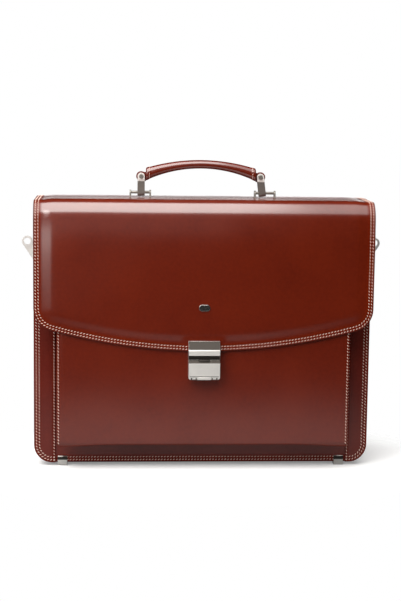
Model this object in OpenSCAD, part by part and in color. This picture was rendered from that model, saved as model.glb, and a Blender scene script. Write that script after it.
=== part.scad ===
// Structured leather briefcase with a two-part flap, a front pocket, a press lock and a top handle.
// Millimetres. X runs across the case, -Y is the front, +Z is up, and the feet stand on Z = 0.
// The origin is below the middle of the case.

/* [Body] */
// Width of the front wall and the back
body_w = 421; // [360:1:440]
// Height of the leather from its lower edge to the top
body_h = 333; // [300:1:360]
// Depth from the back face to the outer face of the flap
body_d = 140; // [120:1:160]
// Radius of the lower corners
corner_r = 23; // [15:1:35]
// Thickness of the outer leather
hide_t = 3; // [2:0.1:4]
// Thickness of the stiffening boards
board_t = 2; // [1:0.1:3]
// Thickness of the linings
lining_t = 1; // [0.6:0.1:1.5]
// How far the gusset sits inside the edges of the walls
gusset_inset = 2; // [1:0.1:4]
// How far the gusset ends below the top
gusset_drop = 19; // [18.5:0.5:30]
// How far the divider ends below the top
divider_drop = 36; // [25:1:80]
// Width of the darker side strips
strip_w = 27; // [18:1:35]
// Thickness of the side strips
strip_t = 1.6; // [1:0.1:2]

/* [Front pocket] */
// Width of the pocket panel
pocket_w = 362; // [330:1:364]
// Depth of the pocket from the front wall to its outer face
pocket_d = 30; // [20:1:40]
// Height of the pocket's lower edge above the body's lower edge
pocket_rise = 29; // [22:1:40]
// How far the pocket ends below the top
pocket_drop = 46; // [35:1:70]
// How far the pocket's gusset sits inside its panel
pocket_inset = 4; // [2:0.5:8]
// Thickness of the pocket's gusset
pocket_gusset_t = 2; // [1.5:0.1:3]

/* [Flap] */
// Width of the flap
flap_w = 418; // [360:1:446]
// Radius of the bend at the front of the top
front_bend_r = 22; // [15:1:28]
// Radius of the bend at the back of the top
back_bend_r = 18; // [12:1:18.5]
// Height of the lowest point of the flap above the feet
flap_low = 151.7; // [146:0.1:190]
// Radius of the flap's lower edge
flap_edge_r = 705; // [600:5:900]
// Radius of the flap's lower corners
flap_corner_r = 28; // [15:1:40]
// How far the linings end inside the leather's edge
lining_inset = 5; // [3:0.5:10]
// Length of the oval stud
stud_w = 14; // [8:0.5:18]
// Height of the oval stud
stud_h = 8; // [5:0.5:10]
// How far the stud stands proud
stud_t = 1.6; // [1:0.1:2.5]
// Height of the stud above the flap's lowest point
stud_rise = 54.4; // [40:0.1:80]

/* [Lock] */
// Width of the lock
lock_w = 38.6; // [34:0.1:46]
// Height of the upper half on the flap
hasp_h = 22.5; // [20:0.1:28]
// Height of the lower half on the pocket
case_h = 24.2; // [23:0.1:30]
// How far the upper half hangs below the flap's edge
hasp_hang = 9.2; // [7:0.1:10]
// How far the upper half stands proud of the flap
hasp_proud = 8; // [6:0.1:9]
// How far the lower half stands proud of the flap
case_proud = 9; // [8:0.1:11]
// Wall between the lower half's face and its hollow
case_wall = 2.5; // [1.5:0.1:3.5]
// Half width of the lower half's hollow
case_hollow = 14; // [10:0.1:14.5]
// Radius of the lower corners of the lock
case_corner_r = 3; // [1:0.1:5]
// Width of the tongue where it leaves the upper half
tongue_w = 14.7; // [12:0.1:18]
// How much narrower the tongue is at its end, each side
tongue_taper = 1.4; // [0.5:0.1:3]
// Height of the tongue
tongue_h = 2.5; // [1.5:0.1:3.5]
// Width of the press button
button_w = 17; // [12:0.1:20]
// Height of the press button
button_h = 3.3; // [2.5:0.1:4]
// How far the button stands proud of the lower half
button_proud = 0.8; // [0.4:0.1:1.5]
// Travel of the button
button_travel = 2.5; // [1:0.1:2.6]
// Thickness of the latch bar
latch_t = 1.6; // [1:0.1:1.8]
// Half width of the latch bar
latch_half_w = 5; // [3:0.1:5.5]
// Thickness of the leaf spring
spring_t = 0.4; // [0.2:0.05:0.6]
// Length of the leaf spring
spring_len = 12; // [9:0.1:13]
// Thickness of the lock's inner plate
backplate_t = 1.2; // [0.8:0.1:2]
// Radius of the lock's screws
screw_r = 1.3; // [1:0.05:1.5]

/* [Handle] */
// Distance between the middles of the two brackets
bracket_span = 157; // [140:1:200]
// Length of a bracket over its ears
bracket_len = 27; // [25:0.5:34]
// Thickness of an ear
ear_t = 2; // [1.5:0.1:3]
// Depth of an ear from front to back
ear_d = 8; // [7:0.1:12]
// Height of the bars above the top
bar_rise = 5.6; // [5.4:0.1:8]
// Radius of the bars
bar_r = 1.75; // [1.4:0.05:2]
// Height of the rivets above the bars
link_len = 20.1; // [18:0.1:30]
// Width of the links
link_w = 9; // [7:0.1:9.5]
// Thickness of the links' metal
link_t = 1.5; // [1:0.1:1.7]
// Extra thickness of a link round its rivet
eye_extra = 0.5; // [0.2:0.1:1]
// Free height below the bar in a link
link_drop = 1.1; // [0.9:0.1:1.3]
// How far each rivet lies inside the middle of its bracket
rivet_inset = 3.5; // [0:0.5:4]
// Radius of the rivets
rivet_r = 1.6; // [1.2:0.05:2]
// Sideways place of the handle on its bars
handle_shift = -2.5; // [-3:0.1:3]
// Sideways lean of the right link at rest, in degrees
right_lean = 7; // [0:0.5:9]
// Distance from a rivet to the end of the grip
grip_end_gap = 6; // [5.5:0.1:10]
// Thickness of the grip in its middle
grip_t = 11.3; // [9:0.1:14]
// Width of the grip from front to back
grip_w = 16; // [12:0.5:17]
// Height of the grip's upper side above the rivets, in the middle
grip_rise = 21.1; // [18:0.1:30]
// Radius of the grip's upper side
grip_top_r = 234; // [200:1:300]
// Radius of the grip's lower side
grip_under_r = 162; // [140:1:200]
// Share of the grip's thickness that its core fills
core_share = 0.72; // [0.5:0.01:0.85]
// Radius of the leather end tabs
tab_r = 6.2; // [5:0.1:7]

/* [Strap lugs] */
// Distance of a lug's eye from the side of the body
lug_reach = 9.5; // [9:0.1:14]
// Height of the eye above the feet
lug_z = 280; // [240:1:300]
// Radius of the eye's hole
eye_r = 4.35; // [3:0.05:5]
// Radius of the eye's outer edge
eye_outer_r = 6.7; // [5.5:0.1:8]
// Thickness of the lug
lug_t = 3; // [2:0.1:5]
// How far the lug's foot lies below its eye
lug_fall = 20; // [14:0.5:24]
// Thickness of the lug's flange
flange_t = 1.5; // [1:0.1:1.9]
// Depth of the lug's flange
flange_d = 14; // [10:0.5:20]

/* [Feet] */
// How far the feet reach below the leather
foot_drop = 4; // [2:0.5:8]
// Width of a foot
foot_w = 12; // [8:0.5:16]
// Distance between the middles of the two feet of an edge
foot_span = 350; // [300:1:350]
// Height of a foot's outer plate above the leather's edge
foot_plate_h = 8.5; // [5:0.5:12]
// Thickness of a foot's outer plate
foot_plate_t = 1.2; // [0.8:0.1:2]
// Depth of a foot under the edge
foot_d = 9; // [7:0.5:14]

/* [Clearances] */
// Gap between leather parts that move past each other
soft_gap = 0.3; // [0.2:0.05:0.6]
// Gap between metal parts that move past each other
metal_gap = 0.3; // [0.2:0.05:0.4]
// Gap round a pin that turns
pin_gap = 0.05; // [0.02:0.01:0.1]

/* [Hidden] */
$fn = 48;

// Colours
flap_red = [0.42, 0.12, 0.08];
dark_red = [0.30, 0.10, 0.09];
board_grey = [0.35, 0.33, 0.30];
lining_brown = [0.25, 0.17, 0.12];
nickel = [0.72, 0.71, 0.69];

// Heights
z_top = foot_drop + body_h;
z_back_hinge = z_top - back_bend_r;
z_front_hinge = z_top - front_bend_r;
z_gusset = z_top - gusset_drop;
z_divider = z_top - divider_drop;
z_pocket_low = foot_drop + pocket_rise;
z_pocket_top = z_top - pocket_drop;
z_base = foot_drop + gusset_inset;
z_floor = z_base + hide_t + board_t;
z_hasp_low = flap_low - hasp_hang;
z_hasp_top = z_hasp_low + hasp_h;
z_case_top = z_hasp_low - metal_gap;
z_case_low = z_case_top - case_h;
z_bar = z_top + bar_rise;
z_rivet = z_bar + link_len;
z_under_top = z_top - hide_t - board_t;

rivet_span = bracket_span - 2 * rivet_inset;

// Depths: the whole model's depth is centred on the origin
front_reach = case_proud + button_proud;
y_flap = front_reach - (front_reach + body_d + foot_plate_t) / 2;
y_back = y_flap + body_d;
flap_t = hide_t + lining_t;
y_pocket = y_flap + flap_t + soft_gap;
y_pocket_in = y_pocket + hide_t;
y_wall = y_pocket + pocket_d;
y_wall_in = y_wall + hide_t;
y_front_room = y_wall_in + board_t + lining_t;
y_back_in = y_back - hide_t;
y_back_room = y_back_in - board_t - lining_t;
y_middle = (y_flap + y_back) / 2;
y_divider = (y_front_room + y_back_room) / 2;

// Insets of the pieces inside the gusset
gusset_in = gusset_inset + hide_t;
side_x = body_w / 2;
gusset_x = side_x - gusset_inset;

// How far a cut runs past the faces that it opens
past = 1;

// A flat outline in X and Z, made into a slab from y_near backwards
module slab(y_near, thick) {
    translate([0, y_near + thick, 0])
        rotate([90, 0, 0])
            linear_extrude(thick)
                children();
}

// A profile in Y and Z, drawn out along X from x_low
module along_x(x_low, len) {
    translate([x_low, 0, 0])
        rotate([90, 0, 90])
            linear_extrude(len)
                children();
}

// A cylinder along Y from y_near backwards
module pin_y(x, y_near, z, r, len) {
    translate([x, y_near + len, z])
        rotate([90, 0, 0])
            cylinder(r = r, h = len);
}

// A box between two corners
module block(low, high) {
    translate(low)
        cube(high - low);
}

// Outline of the front and back walls, drawn in by inset, with round lower corners
module wall_outline(inset, high) {
    half = side_x - inset;
    low = foot_drop + inset;
    r = corner_r - inset;
    translate([-half, low + r])
        square([2 * half, high - low - r]);
    translate([r - half, low])
        square([2 * (half - r), r + past]);
    for (side = [-1, 1])
        translate([side * (half - r), low + r])
            circle(r);
}

// Outline of the flap's drop, drawn in by inset, with an arc below and round corners
module flap_outline(inset, high) {
    half = flap_w / 2 - inset;
    centre_z = flap_low + flap_edge_r;
    corner_x = flap_w / 2 - flap_corner_r;
    reach = flap_edge_r - flap_corner_r;
    corner_z = centre_z - sqrt(reach * reach - corner_x * corner_x);
    edge_r = flap_edge_r - inset;
    touch_x = corner_x * edge_r / reach;
    intersection() {
        translate([0, centre_z])
            circle(edge_r, $fn = 360);
        translate([-touch_x, flap_low - past])
            square([2 * touch_x, high - flap_low + past]);
    }
    translate([-half, corner_z])
        square([2 * half, high - corner_z]);
    for (side = [-1, 1])
        translate([side * corner_x, corner_z])
            circle(flap_corner_r - inset);
}

// A quarter of a ring, side -1 towards the front and side 1 towards the back
module quarter_ring(r, thick, side) {
    intersection() {
        difference() {
            circle(r);
            circle(r - thick);
        }
        translate([side < 0 ? -r - past : 0, 0])
            square([r + past, r + past]);
    }
}

// Back wall
module back_panel() {
    color(flap_red)
        slab(y_back_in, hide_t)
            wall_outline(0, z_back_hinge);
}

module back_board() {
    color(board_grey)
        slab(y_back_in - board_t, board_t)
            wall_outline(gusset_in, z_gusset);
}

module back_lining() {
    color(lining_brown)
        slab(y_back_room, lining_t)
            wall_outline(gusset_in, z_gusset);
}

// Front wall behind the pocket
module front_wall() {
    color(flap_red)
        slab(y_wall, hide_t)
            wall_outline(0, z_gusset);
}

module front_board() {
    color(board_grey)
        slab(y_wall_in, board_t)
            wall_outline(gusset_in, z_gusset);
}

module front_lining() {
    color(lining_brown)
        slab(y_wall_in + board_t, lining_t)
            wall_outline(gusset_in, z_gusset);
}

// Band between the walls: one side with its lower corner
module gusset_side(side) {
    r = corner_r - gusset_inset;
    straight_z = foot_drop + corner_r;
    color(dark_red)
        slab(y_wall_in, y_back_in - y_wall_in)
            scale([side, 1]) {
                translate([gusset_x - hide_t, straight_z])
                    square([hide_t, z_gusset - straight_z]);
                translate([side_x - corner_r, straight_z])
                    mirror([0, 1])
                        quarter_ring(r, hide_t, 1);
            }
}

module left_gusset() {
    difference() {
        gusset_side(-1);
        lug_rivet_holes(-1);
    }
}

module right_gusset() {
    difference() {
        gusset_side(1);
        lug_rivet_holes(1);
    }
}

module base_panel() {
    half = side_x - corner_r;
    color(dark_red)
        block([-half, y_wall_in, z_base], [half, y_back_in, z_base + hide_t]);
}

module base_board() {
    half = side_x - corner_r;
    color(board_grey)
        block([-half, y_front_room, z_base + hide_t], [half, y_back_room, z_floor]);
}

module divider() {
    color(lining_brown)
        intersection() {
            slab(y_divider - board_t / 2, board_t)
                wall_outline(gusset_in, z_divider);
            block([-side_x, y_front_room, z_floor], [side_x, y_back_room, z_top]);
        }
}

// Darker leather bands down the sides of the front wall
module side_strip(side) {
    color(dark_red)
        intersection() {
            slab(y_wall - strip_t, strip_t)
                wall_outline(0, z_gusset);
            block([side < 0 ? -side_x : side_x - strip_w, y_wall - strip_t, 0],
                  [side < 0 ? strip_w - side_x : side_x, y_wall, z_top]);
        }
}

module left_side_strip() side_strip(-1);
module right_side_strip() side_strip(1);

// Front pocket
module pocket_panel() {
    half = pocket_w / 2;
    color(flap_red)
        difference() {
            block([-half, y_pocket, z_pocket_low], [half, y_pocket_in, z_pocket_top]);
            lock_screw_holes();
        }
}

module pocket_gusset(side) {
    outer = pocket_w / 2 - pocket_inset;
    inner = outer - pocket_gusset_t;
    color(dark_red)
        block([side < 0 ? -outer : inner, y_pocket_in, z_pocket_low + pocket_inset],
              [side < 0 ? -inner : outer, y_wall, z_pocket_top]);
}

module pocket_left_gusset() pocket_gusset(-1);
module pocket_right_gusset() pocket_gusset(1);

module pocket_base() {
    half = pocket_w / 2 - pocket_inset - pocket_gusset_t;
    low = z_pocket_low + pocket_inset;
    color(dark_red)
        block([-half, y_pocket_in, low], [half, y_wall, low + pocket_gusset_t]);
}

// Lock. A profile's first number is how far it stands in front of the flap's outer face.
function lock_points(points) = [for (p = points) [y_flap - p[0], p[1]]];

case_back = flap_t + soft_gap;
case_floor = 2.5;
case_roof = 5.2;
case_edge = 0.8;
case_bevel_h = 3.6;
case_bevel_d = 3.4;
hollow_low = z_case_low + case_floor;
hollow_high = z_case_top - case_roof;
notch_inset = 3.7;
notch_r = 0.9;
notch_h = 2.6;
button_back = case_back - soft_gap - button_travel;
latch_top_gap = 0.6;
spring_slack = 0.05;
spring_inset = 1;
tongue_back = latch_t - button_back + metal_gap;
screw_x = (case_hollow + lock_w / 2) / 2;
screw_z = (hollow_low + hollow_high) / 2;
screw_depth = 6;
screw_end_gap = 0.2;
screw_head_r = 2 * screw_r;
screw_head_h = 1;
lip_gap = 0.2;
hasp_lip = flap_t - lip_gap;
hasp_rim = 1.6;
hasp_rim_slope = 0.8;
hasp_dish_h = 10;
hasp_edge = 1.2;
hasp_bevel_h = 5.5;
hasp_bevel_d = 2.6;
tongue_front = hasp_proud - hasp_bevel_d;
backplate_rise = 1.5;

// The tongue's front: extra widens it into its slot, and rise is how far it runs up
module tongue_shape(extra, rise) {
    wide = tongue_w / 2 + extra;
    narrow = wide - tongue_taper;
    low = z_hasp_low - tongue_h - extra;
    polygon([[-wide, z_hasp_low + rise], [-wide, z_hasp_low], [-narrow, low],
             [narrow, low], [wide, z_hasp_low], [wide, z_hasp_low + rise]]);
}

module hasp() {
    color(nickel)
        difference() {
            along_x(-lock_w / 2, lock_w)
                polygon(lock_points([[0, z_hasp_top], [hasp_rim, z_hasp_top],
                    [hasp_rim + hasp_rim_slope, z_hasp_top - hasp_rim],
                    [hasp_proud - hasp_edge, z_hasp_top - hasp_dish_h],
                    [hasp_proud, z_hasp_top - hasp_dish_h - hasp_edge],
                    [hasp_proud, z_hasp_low + hasp_bevel_h],
                    [hasp_proud - hasp_bevel_d, z_hasp_low], [-hasp_lip, z_hasp_low],
                    [-hasp_lip, flap_low - soft_gap], [0, flap_low - soft_gap]]));
            hasp_rivet_set(screw_r + pin_gap, 0);
        }
}

// Tongue below the upper half, in front of the latch bar
module hasp_tongue() {
    color(nickel)
        slab(y_flap - tongue_front, tongue_front - tongue_back)
            tongue_shape(0, 0);
}

module lock_case() {
    hollow_front = case_proud - case_wall;
    color(nickel)
        difference() {
            intersection() {
                along_x(-lock_w / 2, lock_w)
                    polygon(lock_points([[-case_back, z_case_low],
                        [case_proud - case_edge, z_case_low],
                        [case_proud, z_case_low + case_edge],
                        [case_proud, z_case_top - case_bevel_h],
                        [case_proud - case_bevel_d, z_case_top], [-case_back, z_case_top]]));
                slab(y_flap - case_proud, case_proud + case_back)
                    case_front_outline();
            }
            block([-case_hollow, y_flap - hollow_front, hollow_low],
                  [case_hollow, y_pocket + past, hollow_high]);
            block([-button_w / 2 - metal_gap, y_flap - case_proud - past, z_case_low - past],
                  [button_w / 2 + metal_gap, y_pocket + past, z_case_low + button_h + metal_gap]);
            block([-latch_half_w - metal_gap, y_flap - tongue_back + metal_gap, hollow_high - past],
                  [latch_half_w + metal_gap, y_pocket + past, z_case_top + past]);
            slab(y_flap - case_proud - past, case_proud + past - tongue_back + metal_gap)
                tongue_shape(metal_gap, past);
            for (side = [-1, 1]) {
                translate([side * (lock_w / 2 - notch_inset), y_flap - case_proud, z_case_low - past])
                    cylinder(r = notch_r, h = notch_h + past);
                pin_y(side * screw_x, y_pocket - screw_depth, screw_z, screw_r + pin_gap,
                      screw_depth + past);
            }
        }
}

module case_front_outline() {
    half = lock_w / 2;
    r = case_corner_r;
    translate([-half, z_case_low + r])
        square([lock_w, case_h - r]);
    translate([r - half, z_case_low])
        square([lock_w - 2 * r, r + past]);
    for (side = [-1, 1])
        translate([side * (half - r), z_case_low + r])
            circle(r);
}

module lock_screw_holes() {
    for (side = [-1, 1])
        pin_y(side * screw_x, y_pocket - past, screw_z, screw_r + pin_gap, hide_t + 2 * past);
}

module lock_backplate() {
    color(nickel)
        difference() {
            block([-lock_w / 2, y_pocket_in, z_case_low],
                  [lock_w / 2, y_pocket_in + backplate_t, z_case_top]);
            for (side = [-1, 1])
                pin_y(side * screw_x, y_pocket_in - past, screw_z, screw_r + pin_gap,
                      backplate_t + 2 * past);
        }
}

module lock_screws() {
    head_y = y_pocket_in + backplate_t;
    color(nickel)
        for (side = [-1, 1]) {
            pin_y(side * screw_x, y_pocket - screw_depth + screw_end_gap, screw_z, screw_r,
                  head_y - y_pocket + screw_depth - screw_end_gap);
            pin_y(side * screw_x, head_y, screw_z, screw_head_r, screw_head_h);
        }
}

module lock_button() {
    color(nickel)
        block([-button_w / 2, y_flap - case_proud - button_proud, z_case_low],
              [button_w / 2, y_flap + button_back, z_case_low + button_h]);
}

module latch_bar() {
    color(nickel)
        block([-latch_half_w, y_flap + button_back - latch_t, z_case_low + button_h],
              [latch_half_w, y_flap + button_back, z_case_top - latch_top_gap]);
}

module lock_spring() {
    rise = case_back - button_back - spring_slack;
    half = spring_len / 2;
    r = (half * half + rise * rise) / (2 * rise);
    middle_z = (hollow_low + hollow_high) / 2;
    spring_half_w = latch_half_w - spring_inset;
    color(nickel)
        along_x(-spring_half_w, 2 * spring_half_w)
            intersection() {
                translate([y_pocket - rise + r, middle_z])
                    difference() {
                        circle(r);
                        circle(r - spring_t);
                    }
                translate([y_pocket - rise - past, middle_z - half])
                    square([rise + past, spring_len]);
            }
}

// Rivets or their holes, reaching into the upper half and running past the plate by extra
rivet_depth = 2;

module hasp_rivet_set(r, extra) {
    for (side = [-1, 1])
        pin_y(side * lock_w / 3, y_flap - rivet_depth, flap_low + hasp_h / 4, r,
              flap_t + rivet_depth + extra);
}

module hasp_rivets() {
    color(nickel)
        hasp_rivet_set(screw_r, 0);
}

module hasp_backplate() {
    color(nickel)
        difference() {
            block([-lock_w / 2, y_flap + hide_t, flap_low + backplate_rise],
                  [lock_w / 2, y_flap + flap_t, z_hasp_top]);
            hasp_rivet_set(screw_r + pin_gap, past);
        }
}

// Flap, front part
module flap_panel() {
    color(flap_red)
        difference() {
            slab(y_flap, hide_t)
                flap_outline(0, z_front_hinge);
            hasp_rivet_set(screw_r + pin_gap, 0);
            pin_y(0, y_flap - past, flap_low + stud_rise, stud_h / 4 + pin_gap, hide_t + 2 * past);
        }
}

module flap_lining() {
    color(lining_brown)
        difference() {
            slab(y_flap + hide_t, lining_t)
                flap_outline(lining_inset, z_front_hinge - lining_t);
            block([-lock_w / 2, y_flap, 0], [lock_w / 2, y_flap + flap_t + past, z_hasp_top]);
        }
}

module flap_stud() {
    centre_z = flap_low + stud_rise;
    color(nickel) {
        slab(y_flap - stud_t, stud_t) {
            translate([-(stud_w - stud_h) / 2, centre_z - stud_h / 2])
                square([stud_w - stud_h, stud_h]);
            for (side = [-1, 1])
                translate([side * (stud_w - stud_h) / 2, centre_z])
                    circle(stud_h / 2);
        }
        pin_y(0, y_flap - stud_t / 2, centre_z, stud_h / 4, hide_t + stud_t / 2);
    }
}

// Flap, top part
module top_panel() {
    color(flap_red)
        difference() {
            along_x(-flap_w / 2, flap_w) {
                translate([y_flap + front_bend_r, z_front_hinge])
                    quarter_ring(front_bend_r, hide_t, -1);
                translate([y_back - back_bend_r, z_back_hinge])
                    quarter_ring(back_bend_r, hide_t, 1);
                translate([y_flap + front_bend_r, z_top - hide_t])
                    square([body_d - front_bend_r - back_bend_r, hide_t]);
            }
            ear_slots();
        }
}

module top_board() {
    half = flap_w / 2 - lining_inset;
    color(board_grey)
        difference() {
            block([-half, y_flap + front_bend_r, z_under_top],
                  [half, y_back - back_bend_r, z_top - hide_t]);
            ear_slots();
            bracket_rivet_set(board_rivet_r + pin_gap, past);
        }
}

// Handle brackets: a plate under the board with two ears up through the leather
plate_t = 1.5;
plate_d = 14;
plate_lip = 2;
bracket_rivet_x = 5;
board_rivet_r = 0.75 * rivet_r;
board_rivet_head_t = 0.8;
ear_round_drop = 1;

module ear_slots() {
    half_x = ear_t / 2 + pin_gap;
    half_y = ear_d / 2 + pin_gap;
    for (side = [-1, 1], end = [-1, 1])
        translate([side * bracket_span / 2 + end * (bracket_len - ear_t) / 2, y_middle, 0])
            block([-half_x, -half_y, z_under_top - past], [half_x, half_y, z_top + past]);
}

module bracket_rivet_set(r, extra) {
    for (side = [-1, 1], end = [-1, 1])
        translate([side * bracket_span / 2 + end * bracket_rivet_x, y_middle,
                   z_under_top - plate_t - extra])
            cylinder(r = r, h = board_t + plate_t + extra);
}

module bracket_rivets() {
    color(nickel) {
        bracket_rivet_set(board_rivet_r, 0);
        for (side = [-1, 1], end = [-1, 1])
            translate([side * bracket_span / 2 + end * bracket_rivet_x, y_middle,
                       z_under_top - plate_t - board_rivet_head_t])
                cylinder(r = 2 * board_rivet_r, h = board_rivet_head_t);
    }
}

module ear(x_low) {
    difference() {
        along_x(x_low, ear_t) {
            translate([y_middle - ear_d / 2, z_under_top - plate_t / 2])
                square([ear_d, z_bar - z_under_top + plate_t / 2 - ear_round_drop]);
            translate([y_middle, z_bar - ear_round_drop])
                circle(ear_d / 2);
        }
        translate([x_low - past, y_middle, z_bar])
            rotate([0, 90, 0])
                cylinder(r = bar_r + pin_gap, h = ear_t + 2 * past);
    }
}

module bracket(side) {
    x = side * bracket_span / 2;
    color(nickel)
        difference() {
            union() {
                block([x - bracket_len / 2 - plate_lip, y_middle - plate_d / 2, z_under_top - plate_t],
                      [x + bracket_len / 2 + plate_lip, y_middle + plate_d / 2, z_under_top]);
                ear(x - bracket_len / 2);
                ear(x + bracket_len / 2 - ear_t);
            }
            bracket_rivet_set(board_rivet_r + pin_gap, past);
        }
}

module left_bracket() bracket(-1);
module right_bracket() bracket(1);

module bar(side) {
    color(nickel)
        translate([side * bracket_span / 2 - bracket_len / 2, y_middle, z_bar])
            rotate([0, 90, 0])
                cylinder(r = bar_r, h = bracket_len);
}

module left_bar() bar(-1);
module right_bar() bar(1);

// Handle: the grip is swept along X between two arcs
grip_half = rivet_span / 2 - grip_end_gap;
grip_rings = 22;
grip_sides = 20;
z_grip = z_rivet + grip_rise;

function grip_upper(x) = z_grip - grip_top_r + sqrt(grip_top_r * grip_top_r - x * x);
function grip_lower(x) = z_grip - grip_t - grip_under_r + sqrt(grip_under_r * grip_under_r - x * x);
function grip_ring(x, share) = [for (k = [0 : grip_sides - 1])
    let (turn = 360 * k / grip_sides, up = grip_upper(x), low = grip_lower(x))
        [x + handle_shift, y_middle + share * grip_w / 2 * cos(turn),
         (up + low) / 2 + share * (up - low) / 2 * sin(turn)]];
function grip_points(share) = [for (i = [0 : grip_rings])
    each grip_ring(grip_half * (2 * i / grip_rings - 1), share)];
function next_side(k) = (k + 1) % grip_sides;
function grip_walls() = [for (i = [0 : grip_rings - 1], k = [0 : grip_sides - 1])
    let (a = i * grip_sides + k, b = i * grip_sides + next_side(k))
        each [[a, b, b + grip_sides], [a, b + grip_sides, a + grip_sides]]];
grip_count = (grip_rings + 1) * grip_sides;

module grip_core() {
    near = [for (k = [grip_sides - 1 : -1 : 0]) k];
    far = [for (k = [0 : grip_sides - 1]) grip_rings * grip_sides + k];
    color(board_grey)
        polyhedron(grip_points(core_share), concat(grip_walls(), [near], [far]));
}

module grip_cover() {
    inner_walls = [for (face = grip_walls())
        [face[2] + grip_count, face[1] + grip_count, face[0] + grip_count]];
    ends = [for (k = [0 : grip_sides - 1], first = [0, grip_rings * grip_sides])
        let (a = first + k, b = first + next_side(k), c = a + grip_count, d = b + grip_count)
            each first == 0 ? [[a, d, b], [a, c, d]] : [[a, b, d], [a, d, c]]];
    color(flap_red)
        polyhedron(concat(grip_points(1), grip_points(core_share)),
                   concat(grip_walls(), inner_walls, ends));
}

link_half_gap = bar_r + metal_gap;
tab_t = 2 * (link_half_gap - metal_gap);
tab_step = 1;
rivet_head_r = 1.75 * rivet_r;
rivet_head_t = 0.9;
weld = 0.5;

module end_tab(side) {
    x = handle_shift + side * rivet_span / 2;
    inner = handle_shift + side * grip_half;
    color(flap_red)
        difference() {
            slab(y_middle - tab_t / 2, tab_t) {
                intersection() {
                    translate([x, z_rivet])
                        circle(tab_r);
                    translate([side < 0 ? inner - 2 * tab_r - grip_end_gap : inner, z_rivet - tab_r])
                        square([2 * tab_r + grip_end_gap, 2 * tab_r]);
                }
                translate([min(x, inner), z_rivet - tab_r])
                    square([grip_end_gap, 2 * tab_r - tab_step]);
            }
            pin_y(x, y_middle - tab_t, z_rivet, rivet_r + pin_gap, 2 * tab_t);
        }
}

module left_end_tab() end_tab(-1);
module right_end_tab() end_tab(1);

module link_rivet(side) {
    x = handle_shift + side * rivet_span / 2;
    shank = link_half_gap + link_t + eye_extra + metal_gap;
    color(nickel) {
        pin_y(x, y_middle - shank, z_rivet, rivet_r, 2 * shank);
        pin_y(x, y_middle - shank - rivet_head_t, z_rivet, rivet_head_r, rivet_head_t);
        pin_y(x, y_middle + shank, z_rivet, rivet_head_r, rivet_head_t);
    }
}

module left_rivet() link_rivet(-1);
module right_rivet() link_rivet(1);

// A link: two straps joined under the bar, drawn about the rivet and then leaned
module link(side, lean) {
    outer = link_half_gap + link_t;
    eye_outer = outer + eye_extra;
    half_w = link_w / 2;
    color(nickel)
        translate([handle_shift + side * rivet_span / 2, y_middle, z_rivet])
            rotate([0, lean, 0])
                difference() {
                    union() {
                        along_x(-half_w, link_w) {
                            for (face = [-1, 1])
                                translate([face < 0 ? -outer : link_half_gap, -link_len - link_drop])
                                    square([link_t, link_len + link_drop]);
                            translate([0, -link_len - link_drop])
                                intersection() {
                                    difference() {
                                        circle(outer);
                                        circle(link_half_gap);
                                    }
                                    translate([-outer, -outer])
                                        square([2 * outer, outer]);
                                }
                        }
                        for (face = [-1, 1]) {
                            pin_y(0, face < 0 ? -eye_outer : link_half_gap, 0, half_w,
                                  link_t + eye_extra);
                            block([-half_w, face < 0 ? -eye_outer : outer - weld, -half_w],
                                  [half_w, face < 0 ? weld - outer : eye_outer, 0]);
                        }
                    }
                    pin_y(0, -eye_outer - past, 0, rivet_r + pin_gap, 2 * (eye_outer + past));
                }
}

module left_link() link(-1, 0);
module right_link() link(1, -right_lean);

// Strap lugs on the gussets
lug_x = side_x + lug_reach;
lug_foot_r = 4;
flange_half_h = 14;
rivet_hole_rise = 10.5;
lug_rivet_head_r = 1.75 * screw_r;
lug_rivet_head_t = 0.8;

module lug_rivet_holes(side) {
    for (level = [-1, 1])
        translate([side * gusset_x, y_middle, lug_z - lug_fall + level * rivet_hole_rise])
            rotate([0, 90, 0])
                cylinder(r = screw_r + pin_gap, h = 4 * hide_t, center = true);
}

module lug(side) {
    flange_x = gusset_x + flange_t;
    foot_z = lug_z - lug_fall;
    color(nickel)
        difference() {
            union() {
                slab(y_middle - lug_t / 2, lug_t)
                    scale([side, 1])
                        hull() {
                            translate([lug_x, lug_z])
                                circle(eye_outer_r, $fn = 32);
                            translate([flange_x, foot_z - lug_foot_r])
                                square([lug_foot_r / 2, 2 * lug_foot_r]);
                        }
                slab(y_middle - lug_t / 2, lug_t)
                    scale([side, 1])
                        translate([flange_x - flange_t / 2, foot_z - lug_foot_r])
                            square([flange_t, 2 * lug_foot_r]);
                scale([side, 1, 1])
                    block([gusset_x, y_middle - flange_d / 2, foot_z - flange_half_h],
                          [flange_x, y_middle + flange_d / 2, foot_z + flange_half_h]);
            }
            pin_y(side * lug_x, y_middle - lug_t, lug_z, eye_r, 2 * lug_t);
            lug_rivet_holes(side);
        }
}

module left_lug() lug(-1);
module right_lug() lug(1);

module lug_rivets() {
    color(nickel)
        for (side = [-1, 1], level = [-1, 1])
            translate([side * (gusset_x - hide_t), y_middle, lug_z - lug_fall + level * rivet_hole_rise])
                rotate([0, side * 90, 0]) {
                    cylinder(r = screw_r, h = hide_t + flange_t);
                    translate([0, 0, hide_t + flange_t])
                        cylinder(r = lug_rivet_head_r, h = lug_rivet_head_t);
                }
}

// Feet: clips on the lower edges of the two walls
foot_edge = 0.8;

module feet(y_outer, inward) {
    color(nickel)
        for (side = [-1, 1])
            translate([0, y_outer, 0])
                scale([1, inward, 1])
                    along_x(side * foot_span / 2 - foot_w / 2, foot_w)
                        polygon([[-foot_plate_t, foot_edge], [foot_edge - foot_plate_t, 0],
                                 [foot_d - foot_edge, 0], [foot_d, foot_edge], [foot_d, z_base],
                                 [hide_t, z_base], [hide_t, foot_drop], [0, foot_drop],
                                 [0, foot_drop + foot_plate_h],
                                 [-foot_plate_t, foot_drop + foot_plate_h - foot_edge]]);
}

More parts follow.
